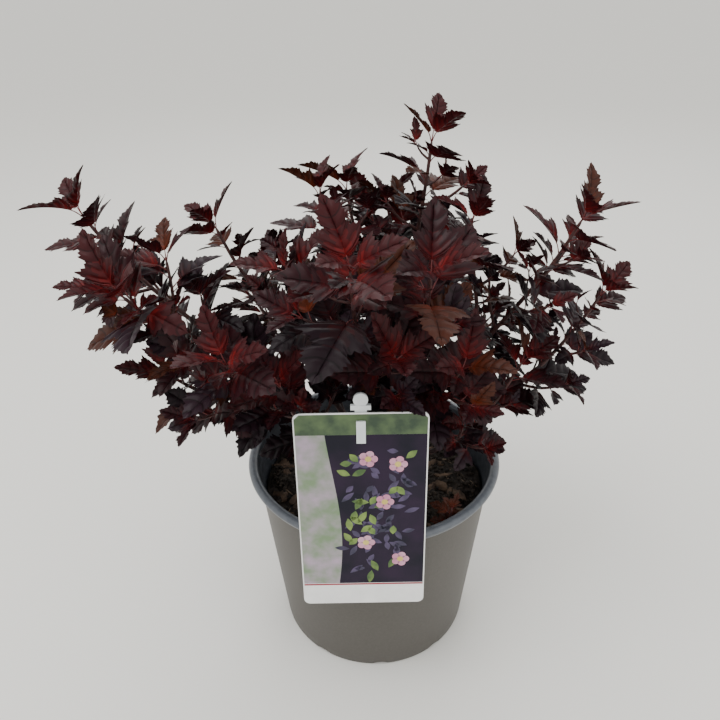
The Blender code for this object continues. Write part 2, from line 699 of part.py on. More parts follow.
def grow_crown(crowd):
    """Stems, side twigs and leaves of every mass, as shoots and leaves that clear each other."""
    boughs = {spec.name: bough_shoot(spec) for spec in BOUGHS}
    forks = {spec.name: [m for m in MASSES if m.bough == spec.name] for spec in BOUGHS}
    stems = {spec.name: mass_shoot(spec, boughs, forks) for spec in MASSES}
    for shoot in list(boughs.values()) + list(stems.values()):
        crowd.add(shoot.owner + "_stem", tube(shoot))
    shoots = {spec.name: [stems[spec.name]] for spec in MASSES}
    slots = []
    for index, spec in enumerate(MASSES):
        rng = random.Random(1000 + index)
        stem = stems[spec.name]
        slots += slots_on(stem, spec.leaf, INTERNODE, rng)
        for point, tangent, turn, length in twigs_on(stem, spec.twigs, spec.leaf, rng):
            turns = [turn + shift for shift in (0, 60, -60, 120)]
            places = [twig_shoot(spec.name, point, tangent, side, length) for side in turns]
            clear = [t for t in places if not crowd.touches(tube(t, CLEARANCE), spec.name + "_stem")]
            if clear:
                shoots[spec.name].append(clear[0])
                crowd.add(spec.name + "_twig", tube(clear[0]))
                slots += slots_on(clear[0], spec.leaf * TWIG_LEAF_SHARE, TWIG_INTERNODE, rng)
    sprout = sprout_shoot()
    stems[SPROUT_NAME] = sprout
    shoots[SPROUT_NAME] = [sprout]
    crowd.add(SPROUT_NAME + "_stem", tube(sprout))
    slots += slots_on(sprout, SPROUT_LEAF, SPROUT_INTERNODE, random.Random(7))
    leaves = {name: [] for name in shoots}
    for slot in sorted(slots, key=lambda s: s.rank):
        for shift, scale in ((0, 1), (28, 0.96), (-28, 0.96), (55, 0.88), (-55, 0.88), (0, 0.72)):
            leaf = leaf_at(slot, shift, scale)
            if not in_own_space(blade_point(leaf, 0, 0.5), slot.owner, stems):
                continue
            if crowd.touches(leaf_solid(leaf, CLEARANCE, leaf.length * 0.12), slot.owner + "_stem"):
                continue
            leaves[slot.owner].append(leaf)
            crowd.add(slot.owner + "_leaf", leaf_solid(leaf))
            break
    return boughs, shoots, leaves


# Masses


def fused(target, others, solver="EXACT"):
    """One union of an object with a collection of others, applied, with the others removed."""
    group = bpy.data.collections.new(target.name + "_pieces")
    for other in others:
        group.objects.link(other)
    modifier = target.modifiers.new("union", "BOOLEAN")
    modifier.operation = "UNION"
    modifier.operand_type = "COLLECTION"
    modifier.collection = group
    modifier.solver = solver
    applied(target)
    remove(others)
    bpy.data.collections.remove(group)
    keep_outer_shell(target.data)
    return target


def keep_outer_shell(mesh):
    """Drops loose scraps and fills sealed hollows, which leaves the one largest shell."""
    shape = bmesh.new()
    shape.from_mesh(mesh)
    unseen = set(shape.faces)
    shells = []
    while unseen:
        shell = {unseen.pop()}
        fresh = list(shell)
        while fresh:
            near = {face for edge in fresh.pop().edges for face in edge.link_faces} - shell
            shell |= near
            fresh += near
        unseen -= shell
        shells.append(shell)
    largest = max(shells, key=len)
    extra = [face for face in shape.faces if face not in largest]
    bmesh.ops.delete(shape, geom=extra, context="FACES")
    shape.to_mesh(mesh)
    shape.free()


def build_mass(name, shoots, leaves, surface):
    solids = [tube(shoot) for shoot in shoots[1:]] + [leaf_solid(leaf) for leaf in leaves]
    target = add_object(name, mesh_of(name, tube(shoots[0])), surface)
    others = []
    for index, solid in enumerate(solids):
        piece = bpy.data.objects.new(f"{name}_{index}", mesh_of(name, solid))
        bpy.context.scene.collection.objects.link(piece)
        others.append(piece)
    return fused(target, others, "MANIFOLD")


def build():
    remove(list(bpy.data.objects))
    pot, soil, label, pick, trunk = build_pot(), build_soil(), build_label(), build_pick(), build_trunk()
    crowd = Crowd()
    graph = bpy.context.evaluated_depsgraph_get()
    for fixed in (pot, soil, label, pick, trunk):
        mesh = fixed.evaluated_get(graph).to_mesh()
        solid = [v.co / MM for v in mesh.vertices], [tuple(p.vertices) for p in mesh.polygons]
        crowd.add(fixed.name, solid)
    boughs, shoots, leaves = grow_crown(crowd)
    bark = material("bough_bark", (0.035, 0.016, 0.015), 0.75)
    for name, shoot in boughs.items():
        add_object(name, mesh_of(name, tube(shoot)), bark, 60)
    foliage = material("foliage", (0.03, 0.007, 0.010), 0.44)
    for name in shoots:
        build_mass(name, shoots[name], leaves[name], foliage)


build()
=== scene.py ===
"""Looks of the potted ninebark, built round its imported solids.

Metres, +Z up. Sizes below are in millimetres and degrees unless a name says otherwise.
"""

import itertools
import random
from collections import namedtuple
from math import cos, exp, hypot, inf, pi, radians, sin, sqrt, tau

import bmesh
import bpy
import numpy as np
from mathutils import Matrix, Vector, noise
from mathutils.bvhtree import BVHTree
from mathutils.geometry import interpolate_bezier


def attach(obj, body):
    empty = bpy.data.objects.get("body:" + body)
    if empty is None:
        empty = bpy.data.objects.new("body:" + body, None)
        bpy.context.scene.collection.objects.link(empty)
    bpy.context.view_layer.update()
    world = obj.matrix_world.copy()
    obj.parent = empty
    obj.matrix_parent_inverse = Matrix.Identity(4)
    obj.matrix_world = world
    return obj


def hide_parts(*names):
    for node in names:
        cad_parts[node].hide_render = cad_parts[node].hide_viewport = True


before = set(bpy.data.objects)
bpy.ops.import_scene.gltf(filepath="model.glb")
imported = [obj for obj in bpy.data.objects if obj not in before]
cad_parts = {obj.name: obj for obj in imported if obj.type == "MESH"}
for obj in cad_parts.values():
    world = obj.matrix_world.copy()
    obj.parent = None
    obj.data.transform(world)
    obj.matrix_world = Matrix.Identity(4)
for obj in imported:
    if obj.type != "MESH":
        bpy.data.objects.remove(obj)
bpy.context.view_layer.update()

MM = 0.001
UP = Vector((0, 0, 1))
GAP = 0.3

# Pot
POT_HEIGHT = 154
FOOT_RADIUS = 74
FOOT_WIDTH = 8
FLOOR_LIFT = 4
FOOT_BEVEL = 1.5
BOSS_RADIUS = 12
POT_WALL = 1.6
NECK_RADIUS = 88.5
NECK_HEIGHT = 147
RIM_RADIUS = 95
RIM_WIDTH = 7
STEPS = 2
STEP_DROP = 7
STEP_DEPTH = 0.6
NOTCHES = 10
NOTCH_WIDTH = 16
NOTCH_HEIGHT = 3
DRAINS = 5
DRAIN_RADIUS = 5
DRAIN_REACH = 50

# Soil
SOIL_TOP = 126
SOIL_WAVE = 1.4
SOIL_FLAT_RADIUS = 24

# Trunk: a short cut-back stem inside the crown
TRUNK_HEIGHT = 24
FLARE_RADIUS = 15
WAIST_RADIUS = 9.5
HEAD_RADIUS = 12.5
LOBES = 5
LOBE_DEPTH = 1.8
TRUNK_LEAN = 5
LEAN_HEADING = 200

# Label
LABEL_WIDTH = 80
LABEL_HEIGHT = 148
LABEL_THICKNESS = 0.8
LABEL_LEAN = 4.4
LABEL_TURN = -2
LABEL_PLACE = (-12.8, -95.0, 177)

# Limbs
BOUGH_SIDES = 5
BOUGH_STEPS = 5
STEM_SIDES = 3
STEM_STEPS = 5
TWIG_STEPS = 2

# Each bough leaves the trunk's head at a heading and a rise, and ends at a tip given by
# heading, reach from the pot's axis and height above the ground.
Bough = namedtuple("Bough", "name head rise tip_heading tip_reach tip_height foot_radius tip_radius")
BOUGHS = [Bough("bough_" + name, *rest) for name, *rest in (
    ("left_long", 190, 48, 192, 88, 246, 2.6, 2.0),
    ("left_low", 203, 16, 203, 67, 206, 2.4, 1.9),
    ("left_back", 145, 48, 168, 52, 236, 2.4, 1.9),
    ("top_left", 170, 76, 152, 23, 262, 2.5, 1.9),
    ("top", 20, 76, 32, 28, 275, 2.7, 2.0),
    ("front_left", 238, 18, 225, 50, 186, 2.3, 1.8),
    ("front", 258, 48, 254, 28, 222, 2.5, 1.9),
    ("front_right", 305, 48, 313, 36, 212, 2.4, 1.9),
    ("right_low", 322, 14, 330, 56, 176, 2.2, 1.7),
    ("right_mid", 356, 16, 354, 76, 190, 2.5, 2.0),
    ("right_high", 350, 48, 355, 63, 231, 2.6, 2.0),
    ("back_right", 45, 18, 45, 64, 204, 2.4, 1.9),
    ("back", 84, 48, 84, 50, 228, 2.4, 1.9),
    ("back_left", 128, 16, 129, 64, 206, 2.4, 1.9),
)]

# The masses of foliage that grow on from each bough's tip to tips of their own: heading, reach,
# height, leaf length and count of twigs
FOLIAGE = {
    "left_long": [("far_left", 187, 172, 350, 40, 3), ("left_front", 208, 158, 322, 46, 2)],
    "left_low": [("left_low", 201, 138, 256, 42, 2), ("left_star", 226, 124, 286, 46, 1)],
    "left_back": [("left_high", 165, 107, 324, 34, 1), ("left_rear", 142, 110, 250, 38, 2)],
    "top_left": [("top_left", 150, 38, 346, 38, 2), ("upper_left", 196, 56, 308, 38, 1)],
    "top": [("top", 20, 40, 380, 36, 3), ("top_rear", 76, 58, 326, 38, 1)],
    "front": [("front_high", 259, 88, 338, 48, 1), ("front_low", 275, 82, 280, 42, 1)],
    "front_right": [("front_right", 289, 82, 330, 46, 1), ("front_right_low", 302, 90, 270, 42, 1)],
    "front_left": [("front_left", 233, 98, 264, 40, 2)],
    "right_high": [("right_high", 349, 127, 340, 38, 3), ("right_inner", 350, 62, 336, 38, 1)],
    "right_mid": [("right_mid", 352.5, 148, 287, 36, 3)],
    "right_low": [("right_low", 338, 102, 250, 34, 1), ("right_rim", 315, 78, 212, 30, 1)],
    "back_right": [("rear_right", 58, 124, 278, 42, 2), ("rear_right_low", 28, 116, 228, 38, 1)],
    "back": [("rear", 88, 120, 296, 44, 2), ("rear_upper", 102, 70, 336, 38, 1)],
    "back_left": [("rear_left", 126, 134, 256, 42, 2), ("rear_left_low", 154, 118, 220, 38, 1)],
}
Mass = namedtuple("Mass", "name bough heading reach height leaf twigs")
MASSES = [Mass("foliage_" + name, "bough_" + bough, *rest)
          for bough, masses in FOLIAGE.items() for name, *rest in masses]

# A young shoot that comes up through the soil at the front right
SPROUT_NAME = "foliage_basal_sprout"
SPROUT_FOOT = (47, -66)
SPROUT_TIP = (49, -70, 156)
SPROUT_LEAF = 15
SPROUT_INTERNODE = 6

# Shoots and leaves
STEM_RADII = (1.8, 1.0)
TWIG_RADII = (1.2, 0.8)
INTERNODE = 14
TWIG_INTERNODE = 12
TUFT = 3
TWIG_LEAF_SHARE = 0.68
LEAF_TURN = 144
LEAF_THICKNESS = 0.02
STALK_HALF = 0.4
STALK_ROOT_HALF = 0.25
BLADE_RIM = ((0.42, 0.38), (0.26, 0.69), (0, 1), (-0.26, 0.69), (-0.42, 0.38))
HEART_ALONG = 0.42
NARROW_LEAF = 0.8
LEAF_FOLD = 0.3
LEAF_ARCH = 0.12
STALK_SHARE = 0.28
OUTER_DROOP = 1.6
SPACE_SLACK = 16
CLEARANCE = 0.4
CELL = 20

Shoot = namedtuple("Shoot", "owner points radii sides")
Leaf = namedtuple("Leaf", "owner root base forward normal length width")
Slot = namedtuple("Slot", "rank owner point tangent turn angle length droop narrow")

# Chance and shares in the growing rule
MASS_SEED = 1000
SPROUT_SEED = 7
CURVE_PULL = 0.36
RING_START = Vector((0.31, 0.17, 0.93))
TURN_START = Vector((0.6, -0.35, 0.72))
STEM_LEAP = 0.05
TWIN_GAP = 0.25
STEM_LIFT = 0.45
STALK_DEPTH = 1.5
LEAF_SINK = 0.25
LEAF_REACH_OUT = 0.45
FACE_ALONG = 0.35
FACE_UP = 0.75
FACE_AWAY = 0.55
SIZE_SPREAD = (0.88, 1.12)
STALK_ANGLES = (48, 66)
DROOPS = (0.05, 0.4)
TURN_SPREAD = 12
TUFT_SETBACK = 0.8
TUFT_ANGLES = (14, 34)
TUFT_SIZES = (0.6, 0.8)
TWIG_TURN = 137
TWIG_START = 0.24
TWIG_RUN = 0.42
TWIG_SIZES = (0.75, 1.05)
TWIG_SINK = 0.1
TWIG_TURNS = (0, 60, -60, 120)

# Turns and sizes tried for a leaf until one fits, and the share of its stalk that may touch
LEAF_TRIES = ((0, 1), (28, 0.96), (-28, 0.96), (55, 0.88), (-55, 0.88), (0, 0.72))
BARE_STALK = 0.12
FINE_TRIES = ((0, 1), (35, 0.95), (-35, 0.9), (0, 0.7))
FINE_BARE_STALK = 0.16
FINE_CLEARANCE = 0.2

# Finer growth
FINE_SEED = 5000
SPUR_SPACING = 17
SPUR_FREE_END = 8
SPUR_LENGTH = 0.36
SPUR_SLIMNESS = 0.7
SPUR_INTERNODE = 9
SPUR_LEAF = 0.5
FILL_LEAF = 0.56
FILL_SPACING = 10

# Finer limbs, twigs and stalks
BARK_SIDES = 12
BARK_STEP = 2.5
BARK_RELIEF = 0.09
RIDGE_WIDTH = 2.2
RIDGE_LENGTH = 7
TWIG_SIDES = 7
TWIG_STEP = 4
TWIG_RELIEF = 0.05
ROUNDED_TIP = 0.55
STALK_SIDES = 5
STALK_SPANS = 4
STALK_OVERRUN = 0.6
STALK_COLOUR = (0.15, 0.022, 0.022)
TRUNK_SIDES = 64
TRUNK_RINGS = 40
TRUNK_ROUGHNESS = 0.55
TRUNK_FLAKING = 0.3
TRUNK_END_SQUARE = 0.4
FLARE_FADE = 5.5
LOBE_FADE = 3
NECK_END = 0.8

# Leaf outline: half of it, across and along in blade lengths, from the stalk to the tip
LEAF_MARGIN = np.array([(0.02, 0), (0.12, 0.03), (0.24, 0.11), (0.35, 0.24), (0.44, 0.42), (0.2, 0.47),
                        (0.28, 0.64), (0.18, 0.81), (0.0, 1.0)])

# Leaf rows: phase, tooth and bulge of each row from one vein to the next, then the shares and
# bulges across a row
VEINS = 9
SMALL_VEINS = 5
VEIN_PHASE = -0.07
ROWS = [(VEIN_PHASE, 0.046, 0.0), (0.07, 0.046, 0.0), (0.3, -0.036, 0.8), (0.5, 0.018, 1.0),
        (0.7, -0.028, 0.8)]
CROSS = ((0.0, 0.0), (0.045, 0.1), (0.36, 1.0), (0.7, 0.9), (1.0, 0.1))
BULGE = 0.027
TOOTH_FADE = 4
TOOTH_LEAST = 0.1
LEAST_ROW = 0.05
PALM_SHARE = 0.44
PALM_REACH = 0.05
RIB_FOOT = 0.01
RIB_REACH = 0.88
RIB_CROWDING = 1.25
RIB_SINK = 0.008
VEIN_SAG = 0.035
RIPPLE = 0.035
RIPPLES = 9
LEAF_SKEW = 0.06

# Leaf colours, in zones that start at the stalk, and the age at which each family ends
Shades = namedtuple("Shades", "blade heart flush vein")
BLADE, HEART, FLUSH, VEIN = range(4)
LEAF_COLOURS = {
    "aubergine": Shades((0.01, 0.004, 0.0066), (0.034, 0.0036, 0.0052),
        (0.0165, 0.0038, 0.0058), (0.0045, 0.0018, 0.0028)),
    "plum": Shades((0.0205, 0.0092, 0.0145), (0.052, 0.006, 0.0084),
        (0.029, 0.0078, 0.0112), (0.009, 0.0036, 0.0052)),
    "wine": Shades((0.0215, 0.004, 0.006), (0.08, 0.0056, 0.0068),
        (0.04, 0.0046, 0.0062), (0.01, 0.002, 0.0028)),
    "crimson": Shades((0.038, 0.0048, 0.0062), (0.14, 0.008, 0.0082),
        (0.074, 0.006, 0.007), (0.02, 0.0028, 0.0036)),
    "bronze": Shades((0.05, 0.0125, 0.006), (0.12, 0.019, 0.0064),
        (0.076, 0.0155, 0.006), (0.028, 0.007, 0.0038)),
}
LEAF_GLOSS = 0.17
LEAF_ROUGHNESS = 0.44
HEART_REACH = 0.18
FLUSH_REACH = 0.4
HEART_FRAY = (-0.07, 0.0, 0.08, 0.08, 0.0)
FAMILIES = ((-0.42, "bronze"), (0.04, "crimson"), (0.4, "wine"), (0.6, "plum"), (inf, "aubergine"))
FAMILY_SEED = 77
BRONZE_SHARE = 0.06
SPRAY_LEAN = 0.16
AGE_SPREAD = 0.28
YOUTH = 0.2

# Finer pot
POT_SIDES = 128
WALL_HEIGHTS = (0.7, 1.5, 12, 40, 80, 120, 143)
FOOT_ROUNDING = 0.4
BEAD_HEIGHT = 3.2
BEAD_SPANS = 12
BEAD_TUCK = 0.25
NOTCH_SIDES = 48
NOTCH_CUT = 30
DRAIN_SIDES = 24
DRAIN_CUT = 20
FIRST_DRAIN = 12

# Compost
SOIL_RINGS = 90
SOIL_SIDES = 240
SOIL_RELIEF = 1.5
RELIEF_LIMIT = 2.0

# What lies on the compost: count, range of sizes and proportions
CRUMB_SEED = 31
CRUMBS = [
    ("compost_crumbs", 2600, (0.7, 2.0), (1.0, 1.0, 0.8)),
    ("bark_chips", 150, (2.6, 6.0), (1.5, 0.7, 0.32)),
    ("pale_fibres", 90, (2.0, 5.0), (1.8, 0.16, 0.14)),
]

# Printed label
LABEL_BORDER = 0.8
FOOT_BAND = 17
CAP_BAND = 14
CAP_CORNER = 3
WAVE_STEPS = 24
WAVE_PLACE = 21
WAVE_DEPTH = 5
WAVE_TURN = 3.4
LABEL_SEED = 12
FLOWERS = ((14, 10), (2, -22), (24, -36), (22, 38), (4, 42))
EYE_RADIUS = 2.0
PETALS = 5
PETAL_REACH = 3.4
PETAL_RADIUS = 2.5
DISC_SIDES = 16

# Surfaces: a pattern of two colours and a bump, each with its own scale
Skin = namedtuple("Skin", "dark light roughness scale detail bump bump_scale spread gloss",
                  defaults=(3, 0.03, 400, (0.35, 0.65), 0.5))
BUMP_DISTANCE = 0.0006
BUMP_DETAIL = 4
LOOSE = (0.9, 160, 5, 0.5, 600)
SURFACES = {
    "bark": Skin((0.022, 0.012, 0.01), (0.085, 0.045, 0.034), 0.85, 180, 6, 0.7, 700),
    "shoot_bark": Skin((0.018, 0.008, 0.009), (0.06, 0.026, 0.024), 0.7, 260, 6, 0.5, 900),
    "twig_bark": Skin((0.03, 0.009, 0.01), (0.085, 0.026, 0.022), 0.6, 300, 6, 0.3, 1200),
    "pot_outer": Skin((0.064, 0.058, 0.05), (0.077, 0.07, 0.061), 0.48, 500, 8, 0.12, 1100, (0.3, 0.7)),
    "pot_rim": Skin((0.078, 0.088, 0.106), (0.106, 0.118, 0.138), 0.32, 260, 6, 0.08, 900),
    # Inside wall: the rim's blue-grey liner colour darkened as painted shade, for the shade that falls
    # inside the pot
    "pot_inner": Skin((0.03, 0.036, 0.046), (0.055, 0.062, 0.075), 0.5, 200, 6, 0.2, 700),
    "compost_ground": Skin((0.006, 0.0045, 0.0035), (0.04, 0.028, 0.02), 0.95, 260, 8, 0.9, 500,
                           (0.3, 0.75)),
    "compost_crumbs": Skin((0.008, 0.006, 0.005), (0.05, 0.036, 0.026), *LOOSE),
    "bark_chips": Skin((0.045, 0.026, 0.016), (0.15, 0.095, 0.06), *LOOSE),
    "pale_fibres": Skin((0.12, 0.085, 0.055), (0.23, 0.17, 0.115), *LOOSE),
    "label_card": Skin((0.8, 0.8, 0.79), (0.88, 0.88, 0.87), 0.28, 90, 3, 0.05, 400),
    "label_field": Skin((0.005, 0.0045, 0.013), (0.02, 0.009, 0.028), 0.4, 40, 4, 0.03, 400, gloss=0.22),
    "label_wash": Skin((0.16, 0.24, 0.13), (0.4, 0.31, 0.4), 0.35, 70),
    "label_cap": Skin((0.02, 0.045, 0.02), (0.08, 0.13, 0.05), 0.35, 90, 4, 0.03, 400),
    "label_line": Skin((0.3, 0.012, 0.03), (0.36, 0.02, 0.04), 0.3, 60),
    "label_shades": Skin((0.016, 0.014, 0.04), (0.075, 0.05, 0.12), 0.4, 120),
    "label_leaves": Skin((0.04, 0.09, 0.02), (0.19, 0.28, 0.06), 0.3, 90),
    "label_blooms": Skin((0.52, 0.2, 0.32), (0.62, 0.34, 0.44), 0.3, 90),
    "label_hearts": Skin((0.55, 0.42, 0.1), (0.65, 0.52, 0.16), 0.3, 90),
    "pick_plastic": Skin((0.66, 0.7, 0.72), (0.76, 0.79, 0.8), 0.25, 60, 3, 0.05, 400),
}

# Floor and lights, in metres and watts: each lamp's place, power and size
FLOOR_SIZE = 60
FLOOR_COLOUR = (0.8, 0.79, 0.755)
WORLD_COLOUR = (0.98, 0.975, 0.95)
WORLD_STRENGTH = 1.2
LAMP_AIM_HEIGHT = 0.2
LAMPS = [
    ("key", (-0.6, -0.4, 1.5), 12, 0.8),
    ("fill", (1.1, -0.9, 0.9), 3, 1.0),
    ("back", (0.2, 1.2, 1.3), 7, 0.9),
]

# Camera
CAMERA_EYE = (-24.4, -413, 477)
CAMERA_DOWN = 30.5
CAMERA_YAW = 2.1
CAMERA_ROLL = -0.93
CAMERA_LENS = 34
CAMERA_NEAR = 0.01


# Growing rule


def place(heading, reach, height):
    angle = radians(heading)
    return Vector((reach * cos(angle), reach * sin(angle), height))


def direction(heading, rise):
    return place(heading, cos(radians(rise)), sin(radians(rise)))


def across(vector, axis):
    """The part of a vector square to an axis, at unit length."""
    return (vector - axis * vector.dot(axis)).normalized()


def curve(start, start_way, end, end_way, steps):
    """Points of a Bezier that leaves and arrives along two unit vectors."""
    pull = (end - start).length * CURVE_PULL
    return interpolate_bezier(start, start + start_way * pull, end - end_way * pull, end, steps + 1)


def taper(first, last, count):
    return [first + (last - first) * k / (count - 1) for k in range(count)]


def turns_round(count):
    return [tau * k / count for k in range(count)]


def ring(x, y, radius, count):
    return [(x + radius * cos(a), y + radius * sin(a)) for a in turns_round(count)]


def tangent_at(points, k):
    before = points[max(k - 1, 0)]
    after = points[min(k + 1, len(points) - 1)]
    return (after - before).normalized()


def stack_faces(rings, sides):
    """Faces of a closed stack of rings: both ends and the quads between."""
    faces = [tuple(reversed(range(sides)))]
    for k in range(rings - 1):
        for n in range(sides):
            a, b = k * sides + n, k * sides + (n + 1) % sides
            faces.append((a, b, b + sides, a + sides))
    faces.append(tuple(range((rings - 1) * sides, rings * sides)))
    return faces


def tube(shoot, swell=0.0):
    """A tapering closed tube along a shoot's centre line."""
    points, radii, sides = shoot.points, shoot.radii, shoot.sides
    vertices = []
    side = across(RING_START, tangent_at(points, 0).cross(UP).normalized())
    for k, point in enumerate(points):
        way = tangent_at(points, k)
        side = across(side, way)
        other = way.cross(side)
        for turn in turns_round(sides):
            vertices.append(point + (side * cos(turn) + other * sin(turn)) * (radii[k] + swell))
    return vertices, stack_faces(len(points), sides)


def pot_wall_radius(height):
    """Outer radius of the tapering wall at a height."""
    share = (height - FOOT_BEVEL) / (NECK_HEIGHT - FOOT_BEVEL)
    return FOOT_RADIUS + 1 + (NECK_RADIUS - FOOT_RADIUS - 1) * share


def pot_inner_radius(height):
    return pot_wall_radius(height) - POT_WALL


def soil_height(x, y):
    """Top of the soil: level round the trunk, gently uneven near the wall."""
    reach = hypot(x, y)
    share = min(max((reach - SOIL_FLAT_RADIUS) / 25, 0), 1)
    wave = sin(x / 11 + 1.3) * cos(y / 9 + 0.4) + 0.5 * sin((x + y) / 6)
    return SOIL_TOP + SOIL_WAVE * share * wave


def label_frame():
    """Turns and leans the upright label and moves it to its place against the rim."""
    turn = Matrix.Rotation(radians(LABEL_TURN), 4, "Z")
    lean = Matrix.Rotation(radians(-LABEL_LEAN), 4, "X")
    return Matrix.Translation(Vector(LABEL_PLACE) * MM) @ turn @ lean


def trunk_head():
    lean = radians(TRUNK_LEAN)
    away = direction(LEAN_HEADING, 0)
    return Vector((0, 0, SOIL_TOP + GAP)) + (UP * cos(lean) + away * sin(lean)) * TRUNK_HEIGHT


def tip_of(mass):
    return place(mass.heading, mass.reach, mass.height)


def limb(owner, ends, radii, steps, sides=STEM_SIDES):
    """A shoot between two ends, each a point and a way, that tapers evenly."""
    points = curve(*ends, steps)
    return Shoot(owner, points, taper(*radii, len(points)), sides)


def bough_shoot(spec):
    """A bough's centre line, from just off the trunk's head to its tip."""
    away = direction(spec.head, spec.rise)
    start = trunk_head() + away * (HEAD_RADIUS + GAP)
    tip = place(spec.tip_heading, spec.tip_reach, spec.tip_height)
    onward = Vector()
    for mass in MASSES:
        if mass.bough == spec.name:
            onward += tip_of(mass) - tip
    arrive = ((tip - start).normalized() + onward.normalized()).normalized()
    radii = spec.foot_radius, spec.tip_radius
    return limb(spec.name, (start, away, tip, arrive), radii, BOUGH_STEPS, BOUGH_SIDES)


def mass_shoot(spec, boughs):
    """A mass's own stem, from just off its bough's tip, beside its twin where two share the tip."""
    bough = boughs[spec.bough]
    way = tangent_at(bough.points, len(bough.points) - 1)
    tip = tip_of(spec)
    start = bough.points[-1] + way * (GAP + STEM_LEAP)
    for twin in MASSES:
        if twin.bough == spec.bough and twin.name != spec.name:
            start += across(tip - tip_of(twin), way) * (STEM_RADII[0] + TWIN_GAP)
    arrive = ((tip - start).normalized() + UP * STEM_LIFT).normalized()
    return limb(spec.name, (start, way, tip, arrive), STEM_RADII, STEM_STEPS)


def sprout_shoot():
    """The young shoot's stem, straight up from just off the soil."""
    foot = Vector((*SPROUT_FOOT, soil_height(*SPROUT_FOOT) + 3 * GAP))
    return limb(SPROUT_NAME, (foot, UP, Vector(SPROUT_TIP), UP), TWIG_RADII, TWIG_STEPS)


def along(shoot, distance):
    """Point and tangent at a distance along a shoot's centre line."""
    for a, b in zip(shoot.points, shoot.points[1:]):
        step = (b - a).length
        if distance <= step or b is shoot.points[-1]:
            return a.lerp(b, min(distance / step, 1.0)), (b - a).normalized()
        distance -= step


def length_of(shoot):
    return sum((b - a).length for a, b in zip(shoot.points, shoot.points[1:]))


def blade_point(leaf, x, y):
    """A point on the folded, arched upper face; x across and y along, in blade lengths."""
    side = leaf.forward.cross(leaf.normal)
    lift = LEAF_FOLD * abs(x) - LEAF_ARCH * y * y
    return leaf.base + (side * x * leaf.width + leaf.forward * y + leaf.normal * lift) * leaf.length


def leaf_solid(leaf, swell=0.0, bare=0.0):
    """A closed leaf: a three-sided stalk that runs into a thin blade, folded along its middle."""
    side = leaf.forward.cross(leaf.normal)
    half = STALK_HALF + swell
    slim = STALK_ROOT_HALF + swell
    stalk_way = (leaf.base - leaf.root).normalized()
    stalk_side = across(side, stalk_way)
    stalk_down = stalk_side.cross(stalk_way)
    if stalk_down.dot(leaf.normal) > 0:
        stalk_down = -stalk_down
    root = leaf.root + stalk_way * bare
    base = leaf.base
    reach = 1 + 2 * swell / leaf.length
    vertices = [root - stalk_side * slim, root + stalk_side * slim, root + stalk_down * slim * STALK_DEPTH]
    vertices += [base - side * half, base + side * half, base - leaf.normal * half * STALK_DEPTH]
    vertices += [blade_point(leaf, x * reach, y * reach) for x, y in BLADE_RIM]
    thickness = LEAF_THICKNESS * leaf.length + swell
    vertices.append(base.lerp(blade_point(leaf, 0, 1), HEART_ALONG) - leaf.normal * thickness)
    stalk = [(0, 2, 1), (0, 1, 4, 3), (1, 2, 5, 4), (2, 0, 3, 5), (5, 3, 11), (4, 5, 11)]
    upper = [(4, 6, 7), (4, 7, 8), (3, 4, 8), (3, 8, 9), (3, 9, 10)]
    under = [(b, a, 11) for a, b in zip([4, 6, 7, 8, 9, 10], [6, 7, 8, 9, 10, 3])]
    return vertices, stalk + upper + under


def way_out(tangent, turn, sink):
    """The way out from a shoot at a turn round it, sinking no more than a limit."""
    first = across(TURN_START, tangent)
    angle = radians(turn)
    out = first * cos(angle) + tangent.cross(first) * sin(angle)
    return (out - UP * (out.z + sink)).normalized() if out.z < -sink else out


def leaf_at(slot, turn_shift, scale):
    """One leaf on a shoot: the stalk leaves at an angle and the blade turns to the light."""
    tangent = slot.tangent
    out = way_out(tangent, slot.turn + turn_shift, LEAF_SINK)
    away = Vector((slot.point.x, slot.point.y, 0)).normalized()
    angle = radians(slot.angle)
    stalk = (tangent * cos(angle) + out * sin(angle)).normalized()
    length = slot.length * scale
    droop = slot.droop * (1 + max(out.dot(away), 0) * OUTER_DROOP)
    forward = (stalk + out * LEAF_REACH_OUT - UP * droop).normalized()
    face = tangent * FACE_ALONG + UP * FACE_UP + away * FACE_AWAY
    normal = across(face, forward)
    base = slot.point + stalk * length * STALK_SHARE
    width = NARROW_LEAF if slot.narrow else 1.0
    return Leaf(slot.owner, slot.point, base, forward, normal, length, width)


def slots_on(shoot, size, spacing, rng):
    """Leaf places along a shoot, spirally set, with a tuft of narrow young leaves at its tip."""
    total = length_of(shoot)
    found = []
    turn = rng.uniform(0, 360)
    distance = spacing
    while distance < total - spacing * 0.4:
        share = distance / total
        point, tangent = along(shoot, distance)
        full = 0.78 + 0.5 * share if share < 0.45 else 1.22 - 0.5 * share
        grown = size * full * rng.uniform(*SIZE_SPREAD)
        angle = rng.uniform(*STALK_ANGLES) - 12 * share
        droop = rng.uniform(*DROOPS) * (1.1 - share)
        found.append(Slot(total - distance, shoot.owner, point, tangent, turn, angle, grown, droop, False))
        turn += LEAF_TURN + rng.uniform(-TURN_SPREAD, TURN_SPREAD)
        distance += spacing * (1.3 - 0.65 * share) * rng.uniform(*SIZE_SPREAD)
    tip, tangent = along(shoot, total - TUFT_SETBACK)
    for k in range(TUFT):
        angle = rng.uniform(*TUFT_ANGLES)
        young = size * rng.uniform(*TUFT_SIZES)
        found.append(Slot(-k, shoot.owner, tip, tangent, turn + 360 * k / TUFT, angle, young, 0.0, True))
    return found


def twigs_on(shoot, count, size, rng):
    """Short side twigs from the lower part of a mass's stem."""
    total = length_of(shoot)
    found = []
    turn = rng.uniform(0, 360)
    for k in range(count):
        share = TWIG_START + TWIG_RUN * (k + rng.uniform(0.2, 0.8)) / count
        point, tangent = along(shoot, total * share)
        found.append((point, tangent, turn, size * rng.uniform(*TWIG_SIZES)))
        turn += TWIG_TURN
    return found


